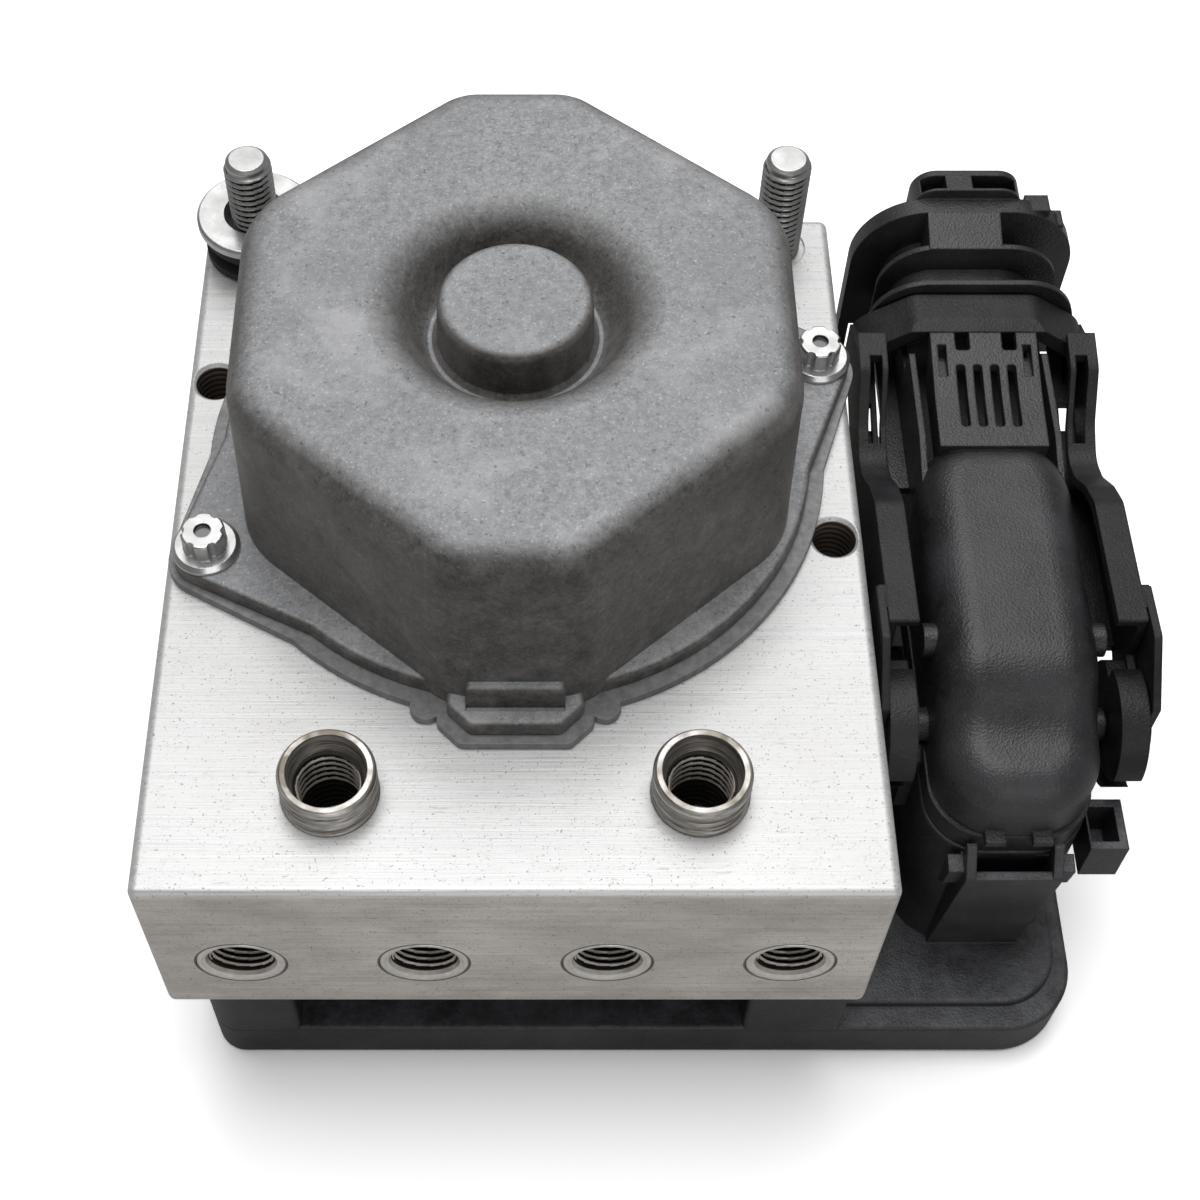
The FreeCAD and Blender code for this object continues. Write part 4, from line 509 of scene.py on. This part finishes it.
def port_insert(index, x, front_y, z):
    """Steel seat ring of one wheel port: coned mouth, then M10 x 1 thread turns."""
    depth, outer = 13.9 * MM, 6.62 * MM
    minor, major, pitch = 4.45 * MM, 5.1 * MM, 1.0 * MM
    mouth, land, cone_depth = 5.5 * MM, 5.9 * MM, 1.1 * MM

    def radius(angle, height):
        if height > -cone_depth:
            return max(minor, mouth + (height / cone_depth) * (mouth - minor - 0.4 * MM))
        return major - (major - minor) * thread_height(height / pitch - angle / (2 * math.pi))

    rows = [(-depth, outer), (-0.15 * MM, outer), (0.0, outer - 0.15 * MM), (0.0, land)]
    rows += [(-0.25 * MM, mouth + 0.1 * MM)]
    rows += [(h, None) for h in reversed(helix_rows(-depth, -0.3 * MM, pitch))]
    grid = turned_rows(rows, radius, 96)
    turn = Matrix.Translation((x, front_y, z)) @ Matrix.Rotation(math.radians(90), 4, "X")
    obj = mesh_from_grid("port_insert_" + str(index), grid, turn)
    valley_shade_r = minor + 0.5 * (major - minor)
    cut_r, first_turn = 5.3 * MM, front_y + 0.9 * MM

    # Painted shade: past the first turn, the valleys of the turns take the near black valley colour.
    def choose(r, centre):
        if r > cut_r:
            return OUTSIDE
        return VALLEY_SHADE if r > valley_shade_r and centre.y > first_turn else CUT

    add_materials(obj, seat_steel, x, z, True, choose)
    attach(obj, "unit")
    return obj


inserts = [port_insert(i, (i - 1.5) * port_pitch, insert_low.y, port_z) for i in range(4)]
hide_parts("wheel_port_inserts")


def sleeve(index, x, y, low_z, top_z):
    """Upright port sleeve with fine turned grooves outside and thread turns inside."""
    outer = 7.1 * MM
    minor, major, pitch = 4.5 * MM, 5.15 * MM, 1.5 * MM
    mouth_depth = 3.4 * MM
    height = top_z - low_z
    outside = [(0.0, outer - 0.3 * MM), (0.3 * MM, outer)]
    grooves, band_low, band_width = 9, height - 6.2 * MM, 5.0 * MM
    groove = ((0.0, 0.0), (0.16 * MM, 0.11 * MM), (0.36 * MM, 0.11 * MM), (0.5 * MM, 0.0))
    for i in range(grooves):
        start = band_low + band_width * i / grooves
        outside += [(start + along, outer - deep) for along, deep in groove]
    outside += [(height - 0.7 * MM, outer), (height, outer - 0.5 * MM)]
    inside = [(height, 5.8 * MM), (height - 2.6 * MM, 5.5 * MM), (height - mouth_depth, major)]

    def radius(angle, z):
        return major - (major - minor) * thread_height(z / pitch - angle / (2 * math.pi))

    turns = helix_rows(0.0, height - mouth_depth - 0.1 * MM, pitch, 18)
    rows = outside + inside + [(h, None) for h in reversed(turns)]
    obj = mesh_from_grid("port_sleeve_" + str(index), turned_rows(rows, radius, 96),
                         Matrix.Translation((x, y, low_z)))
    valley_shade_r = minor + 0.34 * (major - minor)
    cut_r, deep_shade_z = 5.2 * MM, top_z - 11.0 * MM

    # Painted shade: the valleys of the turns, and every face of the bore more than 11 mm below the top, take
    # the near black valley colour.
    def choose(r, centre):
        if r > cut_r:
            return OUTSIDE
        return VALLEY_SHADE if r > valley_shade_r or centre.z < deep_shade_z else CUT

    add_materials(obj, turned_steel, x, y, False, choose)
    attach(obj, "unit")
    return obj


low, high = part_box("master_port_sleeves")
sleeve_x, sleeve_y = 26.5 * MM, (low.y + high.y) / 2
sleeves = [sleeve(i, x, sleeve_y, low.z, high.z) for i, x in enumerate((-sleeve_x, sleeve_x))]
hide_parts("master_port_sleeves")


stud_r = 4.0 * MM


def stud(index, x, y, low_z, top_z, block_top):
    """Threaded stud, coarse turns above the block and a flat chamfered end."""
    major, minor, pitch = stud_r, 3.38 * MM, 1.25 * MM
    height = top_z - low_z
    start = block_top - low_z
    thread_end = height - 0.7 * MM

    def radius(angle, z):
        end = min(1.0, max(0.0, (thread_end - z) / (0.9 * MM)))
        crest = minor + (major - minor) * (0.15 + 0.85 * end)
        return minor + (crest - minor) * thread_height(z / pitch - angle / (2 * math.pi))

    rows = [(0.0, 0.0), (0.0, minor), (start + 0.3 * MM, minor)]
    rows += [(h, None) for h in helix_rows(start + 0.35 * MM, thread_end, pitch)]
    rows += [(height - 0.5 * MM, minor + 0.12 * MM), (height, minor - 0.5 * MM), (height, 0.0)]
    place = Matrix.Translation((x, y, low_z))
    obj = mesh_from_grid("stud_" + str(index), turned_rows(rows, radius, 80), place, close=False)
    valley_shade_r = minor + 0.4 * (major - minor)
    last_turn = top_z - 1.6 * MM

    # Painted shade: the valleys of the turns above the block take the near black valley colour, all but the
    # last turns.
    def choose(r, centre):
        on_turns = block_top < centre.z < last_turn
        return VALLEY_SHADE if on_turns and minor * 0.9 < r < valley_shade_r else OUTSIDE

    add_materials(obj, materials["zinc_steel"], x, y, False, choose)
    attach(obj, "unit")
    return obj


low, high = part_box("mounting_studs")
stud_y = (low.y + high.y) / 2
studs = [stud(i, x, stud_y, low.z, high.z, block_high.z)
         for i, x in enumerate((low.x + stud_r, high.x - stud_r))]
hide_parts("mounting_studs")


# Floor, light and camera

def by_ray(tree, data_type, socket_type, lit, seen):
    """Value lit for the rays that light the object, and seen for the camera's own rays."""
    path = tree.nodes.new("ShaderNodeLightPath")
    mix = tree.nodes.new("ShaderNodeMix")
    mix.data_type = data_type
    tree.links.new(path.outputs["Is Camera Ray"], mix.inputs["Factor"])
    first, second = [s for s in mix.inputs if s.type == socket_type and s.name in ("A", "B")]
    first.default_value = lit
    second.default_value = seen
    return [s for s in mix.outputs if s.type == socket_type][0]


def stage_floor():
    """Pale floor that looks white to the camera and keeps the shadow."""
    mesh = bpy.data.meshes.new("floor")
    half, z = 3.0, -0.3 * MM
    corners = [(-half, -half, z), (half, -half, z), (half, half, z), (-half, half, z)]
    mesh.from_pydata(corners, [], [(0, 1, 2, 3)])
    floor = bpy.data.objects.new("floor", mesh)
    bpy.context.scene.collection.objects.link(floor)
    material = bpy.data.materials.new("floor_paper")
    material.use_nodes = True
    tree = material.node_tree
    bsdf = tree.nodes["Principled BSDF"]
    bsdf.inputs["Roughness"].default_value = 0.9
    bsdf.inputs["Specular IOR Level"].default_value = 0.0
    tone = by_ray(tree, "RGBA", "RGBA", (0.5, 0.5, 0.5, 1.0), (1.45, 1.45, 1.45, 1.0))
    tree.links.new(tone, bsdf.inputs["Base Color"])
    mesh.materials.append(material)


def area_lamp(name, place, target, size, power):
    """Rectangular lamp that looks at the target."""
    lamp = bpy.data.lights.new(name, "AREA")
    lamp.shape = "RECTANGLE"
    lamp.size, lamp.size_y = size
    lamp.energy = power
    obj = bpy.data.objects.new(name, lamp)
    obj.location = place
    direction = Vector(target) - Vector(place)
    obj.rotation_euler = direction.to_track_quat("-Z", "Y").to_euler()
    bpy.context.scene.collection.objects.link(obj)


def studio():
    """One wide lamp above, a weak one in front, one behind, and a white backdrop for the camera alone."""
    centre = (0.02, -0.01, 0.04)
    area_lamp("key", (-0.1, 0.15, 2.0), centre, (1.2, 1.2), 24.2)
    area_lamp("fill", (0.25, -1.0, 0.5), centre, (0.8, 0.5), 2.3)
    area_lamp("back", (0.12, 0.72, 1.05), centre, (1.0, 0.8), 4.6)
    world = bpy.data.worlds.new("studio")
    bpy.context.scene.world = world
    world.use_nodes = True
    tree = world.node_tree
    background = tree.nodes["Background"]
    background.inputs["Color"].default_value = (1.0, 1.0, 1.0, 1.0)
    tree.links.new(by_ray(tree, "FLOAT", "VALUE", 0.2, 1.0), background.inputs["Strength"])


def camera():
    """Camera of the photograph: its place, tilt and lens were fitted to the block's corners."""
    data = bpy.data.cameras.new("camera")
    data.sensor_width = 36.0
    data.lens = 58.32
    data.shift_x = 0.0569
    data.clip_start = 0.01
    obj = bpy.data.objects.new("camera", data)
    obj.location = (0.00237, -0.19055, 0.31568)
    obj.rotation_euler = (math.radians(33.41), 0.0, 0.0)
    bpy.context.scene.collection.objects.link(obj)
    bpy.context.scene.camera = obj


stage_floor()
studio()
camera()
bpy.context.scene.view_settings.view_transform = "Standard"
